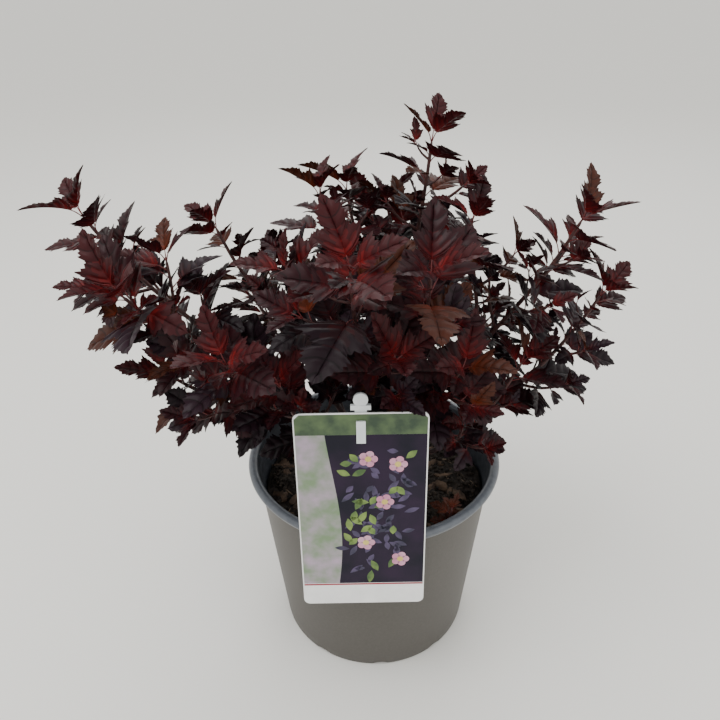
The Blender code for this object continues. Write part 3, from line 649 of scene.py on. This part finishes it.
def twig_shoot(owner, point, tangent, turn, length):
    out = way_out(tangent, turn, TWIG_SINK)
    leave = (tangent * 0.75 + out).normalized()
    tip = point + leave * length
    start_way = (tangent * 0.3 + out).normalized()
    arrive = (leave + UP * 0.5).normalized()
    return limb(owner, (point, start_way, tip, arrive), TWIG_RADII, TWIG_STEPS)


class Crowd:
    """All that stands, sorted into cells, to test whether something new touches it."""

    def __init__(self):
        self.cells = {}

    def cells_of(self, vertices):
        spans = [[int(value // CELL) for value in values] for values in zip(*vertices)]
        return itertools.product(*(range(min(span), max(span) + 1) for span in spans))

    def add(self, solid, owner=None):
        entry = (owner, BVHTree.FromPolygons(*solid))
        for cell in self.cells_of(solid[0]):
            self.cells.setdefault(cell, []).append(entry)

    def touches(self, solid, skip):
        near = {id(e): e for cell in self.cells_of(solid[0]) for e in self.cells.get(cell, [])}
        tree = BVHTree.FromPolygons(*solid)
        return any(owner != skip and tree.overlap(other) for owner, other in near.values())


def distance_to(shoot, point):
    return min((p - point).length for p in shoot.points)


def in_own_space(point, owner, stems):
    """A mass keeps to the room that lies nearer its own stem than any other's, give or take."""
    own = distance_to(stems[owner], point)
    return all(own < distance_to(stem, point) + SPACE_SLACK for stem in stems.values())


def standing_leaf(slot, tries, clearance, bare_stalk, stems, crowd):
    """The first try at a leaf that keeps to its own space and clears all that stands, or None."""
    for shift, scale in tries:
        leaf = leaf_at(slot, shift, scale)
        if not in_own_space(blade_point(leaf, 0, 0.5), slot.owner, stems):
            continue
        if not crowd.touches(leaf_solid(leaf, clearance, leaf.length * bare_stalk), slot.owner):
            crowd.add(leaf_solid(leaf))
            return leaf
    return None


def standing_leaves(slots, tries, clearance, bare_stalk, stems, crowd):
    """The leaves that find room, tried in order of rank."""
    ranked = sorted(slots, key=lambda s: s.rank)
    tried = [standing_leaf(slot, tries, clearance, bare_stalk, stems, crowd) for slot in ranked]
    return [leaf for leaf in tried if leaf]


def grow_crown(crowd):
    """Stems, side twigs and leaves of every mass, as shoots and leaves that clear each other."""
    boughs = {spec.name: bough_shoot(spec) for spec in BOUGHS}
    stems = {spec.name: mass_shoot(spec, boughs) for spec in MASSES}
    for shoot in [*boughs.values(), *stems.values()]:
        crowd.add(tube(shoot), shoot.owner)
    shoots = {spec.name: [stems[spec.name]] for spec in MASSES}
    slots = []
    for index, spec in enumerate(MASSES):
        rng = random.Random(MASS_SEED + index)
        stem = stems[spec.name]
        slots += slots_on(stem, spec.leaf, INTERNODE, rng)
        for point, tangent, turn, length in twigs_on(stem, spec.twigs, spec.leaf, rng):
            turns = [turn + shift for shift in TWIG_TURNS]
            places = [twig_shoot(spec.name, point, tangent, side, length) for side in turns]
            clear = [t for t in places if not crowd.touches(tube(t, CLEARANCE), spec.name)]
            if clear:
                shoots[spec.name].append(clear[0])
                crowd.add(tube(clear[0]))
                slots += slots_on(clear[0], spec.leaf * TWIG_LEAF_SHARE, TWIG_INTERNODE, rng)
    sprout = sprout_shoot()
    stems[SPROUT_NAME] = sprout
    shoots[SPROUT_NAME] = [sprout]
    crowd.add(tube(sprout), SPROUT_NAME)
    slots += slots_on(sprout, SPROUT_LEAF, SPROUT_INTERNODE, random.Random(SPROUT_SEED))
    leaves = {name: [] for name in shoots}
    for leaf in standing_leaves(slots, LEAF_TRIES, CLEARANCE, BARE_STALK, stems, crowd):
        leaves[leaf.owner].append(leaf)
    return boughs, shoots, leaves


# Finer growth within the same reach


def spurs_on(shoot, size, rng):
    """Finer side twigs, with the shoot's own turn from one to the next."""
    total = length_of(shoot)
    turn = rng.uniform(0, 360)
    distance = SPUR_SPACING * rng.uniform(0.5, 1.0)
    found = []
    while distance < total - SPUR_FREE_END:
        point, tangent = along(shoot, distance)
        length = size * SPUR_LENGTH * rng.uniform(0.8, 1.2)
        spur = twig_shoot(shoot.owner, point, tangent, turn, length)
        found.append(spur._replace(radii=[r * SPUR_SLIMNESS for r in spur.radii]))
        turn += TWIG_TURN
        distance += SPUR_SPACING * rng.uniform(0.85, 1.15)
    return found


def grow_finer(crowd, shoots):
    """Spurs and small leaves between the grown ones, each clear of all that stands."""
    stems = {name: grown[0] for name, grown in shoots.items()}
    fine_twigs = []
    slots = []
    for index, spec in enumerate(MASSES):
        rng = random.Random(FINE_SEED + index)
        for shoot in shoots[spec.name]:
            slots += [s for s in slots_on(shoot, spec.leaf * FILL_LEAF, FILL_SPACING, rng) if not s.narrow]
            for spur in spurs_on(shoot, spec.leaf, rng):
                if crowd.touches(tube(spur, CLEARANCE), spec.name):
                    continue
                fine_twigs.append(spur)
                crowd.add(tube(spur))
                slots += slots_on(spur, spec.leaf * SPUR_LEAF, SPUR_INTERNODE, rng)
    fit = FINE_TRIES, FINE_CLEARANCE, FINE_BARE_STALK
    return fine_twigs, standing_leaves(slots, *fit, stems, crowd)


# Pieces and materials


def finished(piece, slot_name, *nodes):
    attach(piece, "root")
    if nodes:
        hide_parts(*nodes)
    return piece


def linked(name, data):
    made = bpy.data.objects.new(name, data)
    bpy.context.scene.collection.objects.link(made)
    return made


def new_piece(name, solid, materials, slots=None, smooth=True):
    """A mesh object from vertices in millimetres and faces."""
    vertices, faces = solid
    mesh = bpy.data.meshes.new(name)
    mesh.from_pydata([tuple(v) for v in np.asarray(vertices) * MM], [], faces)
    for surface in materials:
        mesh.materials.append(surface)
    if slots is not None:
        mesh.polygons.foreach_set("material_index", np.asarray(slots, dtype=np.int32))
    if smooth:
        mesh.shade_smooth()
    return linked(name, mesh)


def fill(node, values):
    """Sets a shader node's inputs."""
    for name, value in values.items():
        node.inputs[name].default_value = value


def plain(name, colour, roughness, gloss=0.5):
    made = bpy.data.materials.new(name)
    made.use_nodes = True
    values = {"Base Color": (*colour, 1), "Roughness": roughness, "Specular IOR Level": gloss}
    fill(made.node_tree.nodes["Principled BSDF"], values)
    return made


def noise_in(tree, place_in, scale, detail):
    """The output of a new noise texture in a material."""
    pattern = tree.nodes.new("ShaderNodeTexNoise")
    fill(pattern, {"Scale": scale, "Detail": detail})
    tree.links.new(place_in, pattern.inputs["Vector"])
    return pattern.outputs["Fac"]


def textured(name):
    """A surface of noise between its two colours, with a finer noise as bump."""
    skin = SURFACES[name]
    made = plain(name, skin.dark, skin.roughness, skin.gloss)
    tree = made.node_tree
    shader = tree.nodes["Principled BSDF"]
    place_in = tree.nodes.new("ShaderNodeTexCoord").outputs["Object"]
    ramp = tree.nodes.new("ShaderNodeValToRGB")
    for stop, position, colour in zip(ramp.color_ramp.elements, skin.spread, (skin.dark, skin.light)):
        stop.position = position
        stop.color = (*colour, 1)
    relief = tree.nodes.new("ShaderNodeBump")
    fill(relief, {"Strength": skin.bump, "Distance": BUMP_DISTANCE})
    tree.links.new(noise_in(tree, place_in, skin.scale, skin.detail), ramp.inputs["Fac"])
    tree.links.new(ramp.outputs["Color"], shader.inputs["Base Color"])
    tree.links.new(noise_in(tree, place_in, skin.bump_scale, BUMP_DETAIL), relief.inputs["Height"])
    tree.links.new(relief.outputs["Normal"], shader.inputs["Normal"])
    return made


def recoloured(name, surface):
    """Gives one of the frame's own nodes a new surface."""
    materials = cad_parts[name].data.materials
    materials.clear()
    materials.append(surface)


# Leaves


def between(before, a, b, after, t):
    """A point of a Catmull-Rom curve, on its stretch from a to b."""
    bend = 2 * before - 5 * a + 4 * b - after
    swing = -before + 3 * a - 3 * b + after
    return 0.5 * (2 * a + (b - before) * t + bend * t * t + swing * t**3)


def neighbours(points, k):
    """The four points that shape the stretch after point k."""
    return points[max(k - 1, 0)], points[k], points[k + 1], points[min(k + 2, len(points) - 1)]


def margin_at(share):
    """A point of the smooth outline at a share of its length."""
    spot = share * (len(LEAF_MARGIN) - 1)
    k = min(int(spot), len(LEAF_MARGIN) - 2)
    return between(*neighbours(LEAF_MARGIN, k), spot - k)


def midrib_at(share):
    """Where the vein that ends at a share of the outline leaves the midrib."""
    rise = max(share - PALM_SHARE, 0) / (1 - PALM_SHARE)
    return np.array([0.0, RIB_FOOT + PALM_REACH * share + RIB_REACH * rise**RIB_CROWDING])


def zone_of(middle, row, first_column, on_vein):
    """Which of the leaf's colours a face has."""
    near = hypot(middle[0], middle[1]) + HEART_FRAY[row % len(HEART_FRAY)]
    if near < HEART_REACH:
        return HEART
    if near < FLUSH_REACH:
        return FLUSH
    return VEIN if first_column or on_vein else BLADE


def leaf_template(veins):
    """Rows from the midrib to a toothed margin, mirrored: points, faces and colour zones."""
    rows = [((vein + 0.5 + row[0]) / veins, *row) for vein in range(veins) for row in ROWS]
    rows.append((1.0, 0.0, 0.0, 0.0))
    columns = len(CROSS)
    points = []
    for share, _, tooth, bulge in rows:
        inner = midrib_at(share)
        outer = margin_at(share)
        way = outer - inner
        fade = min(1.0, TOOTH_FADE * (1 - share) + TOOTH_LEAST)
        outer = outer + way / max(np.linalg.norm(way), LEAST_ROW) * tooth * fade
        for s, swell in CROSS:
            flat = inner + (outer - inner) * s
            flat[1] -= VEIN_SAG * sin(pi * s) * (0.3 + share)
            lift = BULGE * bulge * swell - (RIB_SINK if s == 0 else 0)
            points.append((max(flat[0], 0.0), flat[1], lift))
    half = np.array(points)
    count = len(half)
    faces = []
    zones = []
    for r in range(len(rows) - 1):
        for c in range(columns - 1):
            a = r * columns + c
            quad = (a, a + 1, a + columns + 1, a + columns)
            faces += [quad, tuple(count + k for k in reversed(quad))]
            middle = half[[a, a + 1, a + columns, a + columns + 1]].mean(axis=0)
            zones += [zone_of(middle, r, c == 0, rows[r][1] == VEIN_PHASE)] * 2
    return np.vstack([half, half * (-1, 1, 1)]), np.array(faces), zones


def leaf_points(leaf, template, rng):
    """The template bent onto one leaf by the same formula as its solid, with a ripple."""
    ways = leaf.forward.cross(leaf.normal), leaf.forward, leaf.normal
    side, forward, normal = (np.array(way) for way in ways)
    x, y, lift = template[:, 0:1], template[:, 1:2], template[:, 2:3]
    fold = LEAF_FOLD * rng.uniform(0.4, 1.15)
    arch = LEAF_ARCH * rng.uniform(0.4, 2.2)
    phase = rng.uniform(0, tau)
    wave = RIPPLE * np.sin(y * RIPPLES + phase + 2 * np.sign(x)) * np.abs(x) * 2
    rise = fold * np.abs(x) - arch * y * y + lift + wave
    skew = rng.uniform(-LEAF_SKEW, LEAF_SKEW) * y * y
    shape = side * (x * leaf.width + skew) + forward * y + normal * rise
    return np.array(leaf.base) + shape * leaf.length


def leaf_piece(name, leaves, family, veins):
    template, faces, zones = leaf_template(veins)
    materials = []
    for zone, colour in zip(Shades._fields, LEAF_COLOURS[family]):
        materials.append(plain(f"{name}_{zone}", colour, LEAF_ROUGHNESS, LEAF_GLOSS))
    rng = random.Random(name)
    vertices = np.vstack([leaf_points(leaf, template, rng) for leaf in leaves])
    all_faces = np.vstack([faces + k * len(template) for k in range(len(leaves))]).tolist()
    return new_piece(name, (vertices, all_faces), materials, zones * len(leaves))


def family_of(leaf, stems, rng):
    """Young leaves by the tips are bright, old inner ones dark; each spray leans one way."""
    stem = stems[leaf.owner]
    far = (leaf.root - stem.points[-1]).length / max(length_of(stem), 1)
    lean = random.Random(leaf.owner).uniform(-SPRAY_LEAN, SPRAY_LEAN)
    age = far + lean + rng.uniform(-AGE_SPREAD, AGE_SPREAD) - (YOUTH if leaf.width < 1 else 0)
    if leaf.owner == SPROUT_NAME or rng.random() < BRONZE_SHARE:
        return "bronze"
    return next(family for limit, family in FAMILIES if age < limit)


def by_family(leaves, stems, rng):
    families = {}
    for leaf in leaves:
        families.setdefault(family_of(leaf, stems, rng), []).append(leaf)
    return sorted(families.items())


def smooth_line(points, step):
    """Points along a smooth curve through a shoot's points, about one step apart."""
    found = []
    for k in range(len(points) - 1):
        count = max(int((points[k + 1] - points[k]).length / step), 2)
        found += [between(*neighbours(points, k), n / count) for n in range(count)]
    return found + [points[-1]]


def fine_tube(shoot, sides, step, relief=0.0, rounded=False):
    """A tube along a smoothed shoot, with lengthwise bark ridges."""
    line = smooth_line(shoot.points, step)
    radii = taper(shoot.radii[0], shoot.radii[-1], len(line))
    if rounded:
        radii[-1] *= ROUNDED_TIP
    vertices, faces = tube(Shoot(shoot.owner, line, radii, sides))
    if relief:
        for index, vertex in enumerate(vertices):
            centre = line[index // sides]
            spot = Vector((vertex.x / RIDGE_WIDTH, vertex.y / RIDGE_WIDTH, vertex.z / RIDGE_LENGTH))
            swell = 1 + relief * (2 * noise.fractal(spot, 0.8, 2, 4))
            vertices[index] = centre + (vertex - centre) * swell
    return vertices, faces


def stalk_tube(leaf):
    way = (leaf.base - leaf.root).normalized()
    end = leaf.base + leaf.forward * STALK_OVERRUN
    ends = leaf.root, way, end, leaf.forward
    half = STALK_HALF * (0.55 + leaf.length / 90)
    return tube(limb(leaf.owner, ends, (half * 1.2, half * 0.8), STALK_SPANS, STALK_SIDES))


def joined(solids):
    vertices, faces = [], []
    for part_vertices, part_faces in solids:
        faces += [tuple(k + len(vertices) for k in face) for face in part_faces]
        vertices += part_vertices
    return vertices, faces


def build_foliage(shoots, leaves, fine_twigs, fine_leaves):
    stems = {name: grown[0] for name, grown in shoots.items()}
    grown_leaves = [leaf for grown in leaves.values() for leaf in grown]
    rng = random.Random(FAMILY_SEED)
    pieces = []
    kinds = ("leaves", grown_leaves, VEINS), ("small_leaves", fine_leaves, SMALL_VEINS)
    for kind, members, veins in kinds:
        for family, matching in by_family(members, stems, rng):
            pieces.append(leaf_piece(f"{kind}_{family}", matching, family, veins))
    stalks = joined([stalk_tube(leaf) for leaf in grown_leaves + fine_leaves])
    pieces.append(new_piece("leaf_stalks", stalks, [plain("stalk_skin", STALK_COLOUR, 0.45)]))
    grown_shoots = [shoot for grown in shoots.values() for shoot in grown]
    tubes = [fine_tube(s, TWIG_SIDES, TWIG_STEP, TWIG_RELIEF, True) for s in grown_shoots]
    tubes += [fine_tube(s, STALK_SIDES, TWIG_STEP, rounded=True) for s in fine_twigs]
    twigs = new_piece("twigs", joined(tubes), [textured("twig_bark")])
    for piece in pieces:
        finished(piece, "foliage")
    finished(twigs, "foliage", *shoots)


# Limbs


def trunk_radius(up, over_head, heading):
    """Radius at a share of the height up to the head's middle: lobed flare, waist and round head."""
    lobes = cos(radians(heading * LOBES))
    flare = WAIST_RADIUS + (FLARE_RADIUS - WAIST_RADIUS) * exp(-FLARE_FADE * up)
    neck = flare + LOBE_DEPTH * lobes * exp(-LOBE_FADE * up)
    ball = sqrt(max(HEAD_RADIUS**2 - over_head**2, TRUNK_END_SQUARE))
    return max(neck, ball) if up < NECK_END else ball


def trunk_mesh():
    """The short trunk with flaking bark, from its cut foot to its knuckled head."""
    foot = Vector((0, 0, SOIL_TOP + GAP))
    head = trunk_head()
    vertices = []
    top = head.z + HEAD_RADIUS - foot.z
    for k in range(TRUNK_RINGS + 1):
        z = foot.z + top * (k / TRUNK_RINGS)
        up = (z - foot.z) / (head.z - foot.z)
        centre = Vector().lerp(Vector((head.x, head.y, 0)), min(up, 1.0))
        for n in range(TRUNK_SIDES):
            heading = 360 * n / TRUNK_SIDES
            turn = radians(heading)
            radius = trunk_radius(up, z - head.z, heading)
            spot = Vector((cos(turn) * 4, sin(turn) * 4, z / 6))
            rough = TRUNK_ROUGHNESS * noise.fractal(spot, 0.7, 2, 5)
            point = direction(heading, 0) * min(radius + rough - TRUNK_FLAKING, radius)
            vertices.append(Vector((centre.x, centre.y, z)) + point)
    return vertices, stack_faces(TRUNK_RINGS + 1, TRUNK_SIDES)


def build_limbs(boughs):
    finished(new_piece("trunk_bark", trunk_mesh(), [textured("bark")]), "trunk_bark", "trunk")
    shoot_bark = textured("shoot_bark")
    for name, shoot in boughs.items():
        solid = fine_tube(shoot, BARK_SIDES, BARK_STEP, BARK_RELIEF)
        finished(new_piece(name + "_bark", solid, [shoot_bark]), "bough_bark", name)


# Pot and soil


def rim_bead():
    """Half round over the rim, from its outer foot to its inner one."""
    middle = RIM_RADIUS - RIM_WIDTH / 2
    low = POT_HEIGHT - BEAD_HEIGHT
    points = []
    for k in range(BEAD_SPANS + 1):
        turn = pi * (k / BEAD_SPANS) - BEAD_TUCK * (1 - k / BEAD_SPANS)
        points.append((middle + RIM_WIDTH / 2 * cos(turn), low + BEAD_HEIGHT * sin(turn)))
    return points


def fine_pot_profile():
    """The pot's own profile with a rounder foot and rim."""
    inner_foot = FOOT_RADIUS - FOOT_WIDTH
    floor = FLOOR_LIFT + POT_WALL
    points = [(0, 0), (BOSS_RADIUS, 0), (BOSS_RADIUS, FLOOR_LIFT)]
    points += [(inner_foot, FLOOR_LIFT), (inner_foot, 0), (FOOT_RADIUS, 0)]
    for height in WALL_HEIGHTS:
        inset = FOOT_ROUNDING if height < 1 else 0
        points.append((pot_wall_radius(max(height, FOOT_BEVEL)) - inset, height))
    points += [(NECK_RADIUS, NECK_HEIGHT), (NECK_RADIUS + 0.6, NECK_HEIGHT + 0.5)]
    points += [(RIM_RADIUS - RIM_WIDTH / 2 + 2, NECK_HEIGHT + 0.6)]
    points += rim_bead()
    for k in range(1, STEPS + 1):
        height = POT_HEIGHT - 3 - STEP_DROP * k
        upper = pot_inner_radius(NECK_HEIGHT) - STEP_DEPTH * (k - 1)
        points += [(upper, height + 0.5), (upper - STEP_DEPTH, height - 0.5)]
    points += [(pot_inner_radius(floor), floor), (0, floor)]
    return points


def pot_blank():
    """The pot's profile turned round its axis, with no notches or holes yet."""
    shape = bmesh.new()
    line = [shape.verts.new((x * MM, 0, z * MM)) for x, z in fine_pot_profile()]
    edges = [shape.edges.new(pair) for pair in zip(line, line[1:])]
    bmesh.ops.spin(shape, geom=line + edges, axis=UP, cent=(0, 0, 0), steps=POT_SIDES, angle=tau)
    bmesh.ops.remove_doubles(shape, verts=shape.verts, dist=1e-6)
    bmesh.ops.recalc_face_normals(shape, faces=shape.faces)
    mesh = bpy.data.meshes.new("pot_shell")
    shape.to_mesh(mesh)
    shape.free()
    return linked("pot_shell", mesh)


def cutter(radius, depth, sides, spot, turn=(0, 0, 0)):
    bpy.ops.mesh.primitive_cylinder_add(vertices=sides, radius=radius * MM, depth=depth * MM)
    made = bpy.context.object
    made.location = spot * MM
    made.rotation_euler = turn
    return made


def pot_cutters():
    """Lying cylinders for the foot's notches and upright ones for the drain holes."""
    radius = ((NOTCH_WIDTH / 2)**2 + NOTCH_HEIGHT**2) / (2 * NOTCH_HEIGHT)
    cutters = []
    for k in range(NOTCHES):
        heading = 360 * (k + 0.5) / NOTCHES
        spot = place(heading, FOOT_RADIUS, NOTCH_HEIGHT - radius)
        lying = (0, radians(90), radians(heading))
        cutters.append(cutter(radius, NOTCH_CUT, NOTCH_SIDES, spot, lying))
    for k in range(DRAINS):
        spot = place(360 * k / DRAINS + FIRST_DRAIN, DRAIN_REACH, FLOOR_LIFT)
        cutters.append(cutter(DRAIN_RADIUS, DRAIN_CUT, DRAIN_SIDES, spot))
    return cutters


def cut_away(piece, cutters):
    for tool in cutters:
        piece.modifiers.new(tool.name, "BOOLEAN").object = tool
    graph = bpy.context.evaluated_depsgraph_get()
    baked = bpy.data.meshes.new_from_object(piece.evaluated_get(graph))
    piece.modifiers.clear()
    piece.data = baked
    for tool in cutters:
        bpy.data.objects.remove(tool, do_unlink=True)


def pot_surface_at(centre):
    """Index of the surface at a face's middle, in millimetres: 0 outside, 1 rim, 2 inside, which is the
    rim's blue-grey painted darker as shade.
    """
    reach = hypot(centre.x, centre.y)
    if centre.z > NECK_HEIGHT - 0.2 and reach > NECK_RADIUS - 0.4:
        return 1
    inside = reach < pot_wall_radius(centre.z) - POT_WALL / 2 and centre.z > FLOOR_LIFT
    return 2 if inside else 0


def build_pot():
    pot = pot_blank()
    cut_away(pot, pot_cutters())
    pot.data.materials.clear()
    # The inside's material is the rim's blue-grey darkened as painted shade
    for name in ("pot_outer", "pot_rim", "pot_inner"):
        pot.data.materials.append(textured(name))
    for face in pot.data.polygons:
        face.material_index = pot_surface_at(face.center / MM)
    pot.data.shade_smooth()
    pot.data.set_sharp_from_angle(angle=radians(32))
    finished(pot, "pot_plastic", "pot")


def compost_height(x, y):
    """The soil's height with its fine relief on it."""
    relief = SOIL_RELIEF * noise.fractal(Vector((x / 7, y / 7, 3.1)), 0.9, 2.1, 5)
    return soil_height(x, y) + min(relief, RELIEF_LIMIT)


def build_soil():
    """Rough compost, level round the trunk, with crumbs and chips on it."""
    edge = pot_inner_radius(SOIL_TOP) - STEPS * STEP_DEPTH - GAP - 0.4
    sides = SOIL_SIDES
    vertices = [Vector((0, 0, SOIL_TOP - 1))]
    for k in range(1, SOIL_RINGS + 1):
        reach = edge * k / SOIL_RINGS
        edge_dip = 1.2 * max((reach - edge + 4) / 4, 0)
        for x, y in ring(0, 0, reach, sides):
            height = compost_height(x, y) - edge_dip
            if reach < FLARE_RADIUS + 6:
                height = min(height, SOIL_TOP + GAP)
            vertices.append(Vector((x, y, height)))
    low = FLOOR_LIFT + POT_WALL + 1
    floor_edge = pot_inner_radius(low) - 1
    vertices += [Vector((x, y, low)) for x, y in ring(0, 0, floor_edge, sides)]
    faces = [(0, 1 + n, 1 + (n + 1) % sides) for n in range(sides)]
    for k in range(SOIL_RINGS):
        for n in range(sides):
            a, b = 1 + k * sides + n, 1 + k * sides + (n + 1) % sides
            faces.append((a, a + sides, b + sides, b))
    faces.append(tuple(1 + SOIL_RINGS * sides + n for n in reversed(range(sides))))
    finished(new_piece("compost_bed", (vertices, faces), [textured("compost_ground")]), "compost", "soil")
    build_crumbs(edge - 4)


def lump():
    """Points and faces of the plain ball that every crumb is shaped from."""
    ball = bmesh.new()
    bmesh.ops.create_icosphere(ball, subdivisions=1, radius=1)
    points = np.array([v.co for v in ball.verts])
    faces = [tuple(v.index for v in f.verts) for f in ball.faces]
    ball.free()
    return points, faces


def build_crumbs(reach_limit):
    rng = random.Random(CRUMB_SEED)
    lump_points, lump_faces = lump()
    for name, count, sizes, stretch in CRUMBS:
        vertices, faces = [], []
        for _ in range(count):
            reach = reach_limit * sqrt(rng.uniform(0.06, 1))
            turn = rng.uniform(0, tau)
            x, y = reach * cos(turn), reach * sin(turn)
            size = rng.uniform(*sizes)
            heading = Matrix.Rotation(rng.uniform(0, tau), 3, "Z")
            basis = heading @ Matrix.Rotation(rng.uniform(-0.5, 0.5), 3, "X")
            scale = np.array([size * s * rng.uniform(0.8, 1.2) for s in stretch])
            jitter = np.array([[rng.uniform(0.72, 1.2)] for _ in lump_points])
            z = compost_height(x, y) + size * stretch[2] * 0.45
            world = (lump_points * jitter * scale) @ np.array(basis).T + np.array([x, y, z])
            faces += [tuple(k + len(vertices) for k in face) for face in lump_faces]
            vertices += world.tolist()
        finished(new_piece(name, (vertices, faces), [textured(name)], smooth=False), "compost")


# Label


def printed(name, outlines, lift):
    """One colour of the label's print: flat outlines a little in front of the card."""
    front = -LABEL_THICKNESS / 2 - lift
    vertices, faces = [], []
    for outline in outlines:
        faces.append(tuple(range(len(vertices), len(vertices) + len(outline))))
        vertices += [label_frame() @ (Vector((x, front, z)) * MM) / MM for x, z in outline]
    finished(new_piece(name, (vertices, faces), [textured(name)], smooth=False), "label_card")


def leaflet(x, z, turn, length, width):
    """A pointed oval outline, from its stalk end round its tip and back."""
    shares = [k / 7 for k in range(8)]
    over, rise = cos(radians(turn)), sin(radians(turn))
    found = []
    for share, side in [(s, 1) for s in shares] + [(s, -1) for s in reversed(shares[1:-1])]:
        u, v = share * length, side * sin(pi * share) * width / 2
        found.append((x + u * over - v * rise, z + u * rise + v * over))
    return found


def scattered(rng, count, left, border, lengths, width):
    """Leaflets at random over the label's dark field, within its borders."""
    right, low, high = border
    found = []
    for _ in range(count):
        x, z = rng.uniform(left, right), rng.uniform(low, high)
        found.append(leaflet(x, z, rng.uniform(0, 360), rng.uniform(*lengths), width))
    return found


def build_label():
    """A plain design: a dark field, a pale wave down one side and a few round flowers."""
    recoloured("label", textured("label_card"))
    right, top = LABEL_WIDTH / 2 - LABEL_BORDER, LABEL_HEIGHT / 2 - LABEL_BORDER
    foot = -top + FOOT_BAND
    field_top = top - CAP_BAND
    wave = []
    for k in range(WAVE_STEPS + 1):
        x = -right + WAVE_PLACE + WAVE_DEPTH * sin(WAVE_TURN * k / WAVE_STEPS + 0.5)
        wave.append((x, foot + (field_top - foot) * k / WAVE_STEPS))
    printed("label_field", [[(right, foot), (right, field_top)] + wave[::-1]], 0.06)
    printed("label_wash", [[(-right, field_top), (-right, foot)] + wave], 0.06)
    cap_foot = field_top + 0.01
    cap = [(-right, cap_foot), (right, cap_foot), (right, top - CAP_CORNER)]
    cap += [(right - CAP_CORNER, top), (-right + CAP_CORNER, top), (-right, top - CAP_CORNER)]
    printed("label_cap", [cap], 0.05)
    low, high = foot - 1.6, foot - 0.4
    printed("label_line", [[(-right, low), (right, low), (right, high), (-right, high)]], 0.06)
    rng = random.Random(LABEL_SEED)
    greens = scattered(rng, 26, -8, (right - 12, foot + 8, field_top - 12), (7, 11), 4.5)
    shades = scattered(rng, 70, -9, (right - 12, foot + 7, field_top - 11), (6, 11), 3.6)
    printed("label_shades", shades, 0.08)
    printed("label_leaves", greens, 0.1)
    petals = [petal for spot in FLOWERS for petal in ring(*spot, PETAL_REACH, PETALS)]
    printed("label_blooms", [ring(*petal, PETAL_RADIUS, DISC_SIDES) for petal in petals], 0.14)
    printed("label_hearts", [ring(*spot, EYE_RADIUS, DISC_SIDES) for spot in FLOWERS], 0.18)
    recoloured("label_pick", textured("pick_plastic"))


# Scene


def build_stage():
    bpy.ops.mesh.primitive_plane_add(size=FLOOR_SIZE, location=(0, 0, 0))
    floor = bpy.context.object
    floor.name = "floor"
    floor.data.materials.append(plain("floor_pale", FLOOR_COLOUR, 0.95))
    world = bpy.data.worlds.new("soft_world")
    world.use_nodes = True
    fill(world.node_tree.nodes["Background"], {"Color": (*WORLD_COLOUR, 1), "Strength": WORLD_STRENGTH})
    bpy.context.scene.world = world
    for name, spot, power, size in LAMPS:
        lamp = bpy.data.lights.new(name, "AREA")
        lamp.energy = power
        lamp.size = size
        holder = linked(name, lamp)
        holder.location = spot
        aim = Vector((0, 0, LAMP_AIM_HEIGHT)) - holder.location
        holder.rotation_euler = aim.to_track_quat("-Z", "Y").to_euler()


def build_camera():
    camera = bpy.data.cameras.new("camera")
    camera.lens = CAMERA_LENS
    camera.clip_start = CAMERA_NEAR
    turns = ((-CAMERA_YAW, "Z"), (90 - CAMERA_DOWN, "X"), (CAMERA_ROLL, "Z"))
    yaw, down, roll = (Matrix.Rotation(radians(angle), 4, axis) for angle, axis in turns)
    holder = linked("camera", camera)
    holder.matrix_world = Matrix.Translation(Vector(CAMERA_EYE) * MM) @ yaw @ down @ roll
    bpy.context.scene.camera = holder


def build():
    crowd = Crowd()
    for name in ("pot", "soil", "label", "label_pick", "trunk"):
        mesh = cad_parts[name].data
        crowd.add(([v.co / MM for v in mesh.vertices], [tuple(p.vertices) for p in mesh.polygons]))
    boughs, shoots, leaves = grow_crown(crowd)
    fine_twigs, fine_leaves = grow_finer(crowd, shoots)
    build_limbs(boughs)
    build_foliage(shoots, leaves, fine_twigs, fine_leaves)
    build_pot()
    build_soil()
    build_label()
    build_stage()
    build_camera()


build()
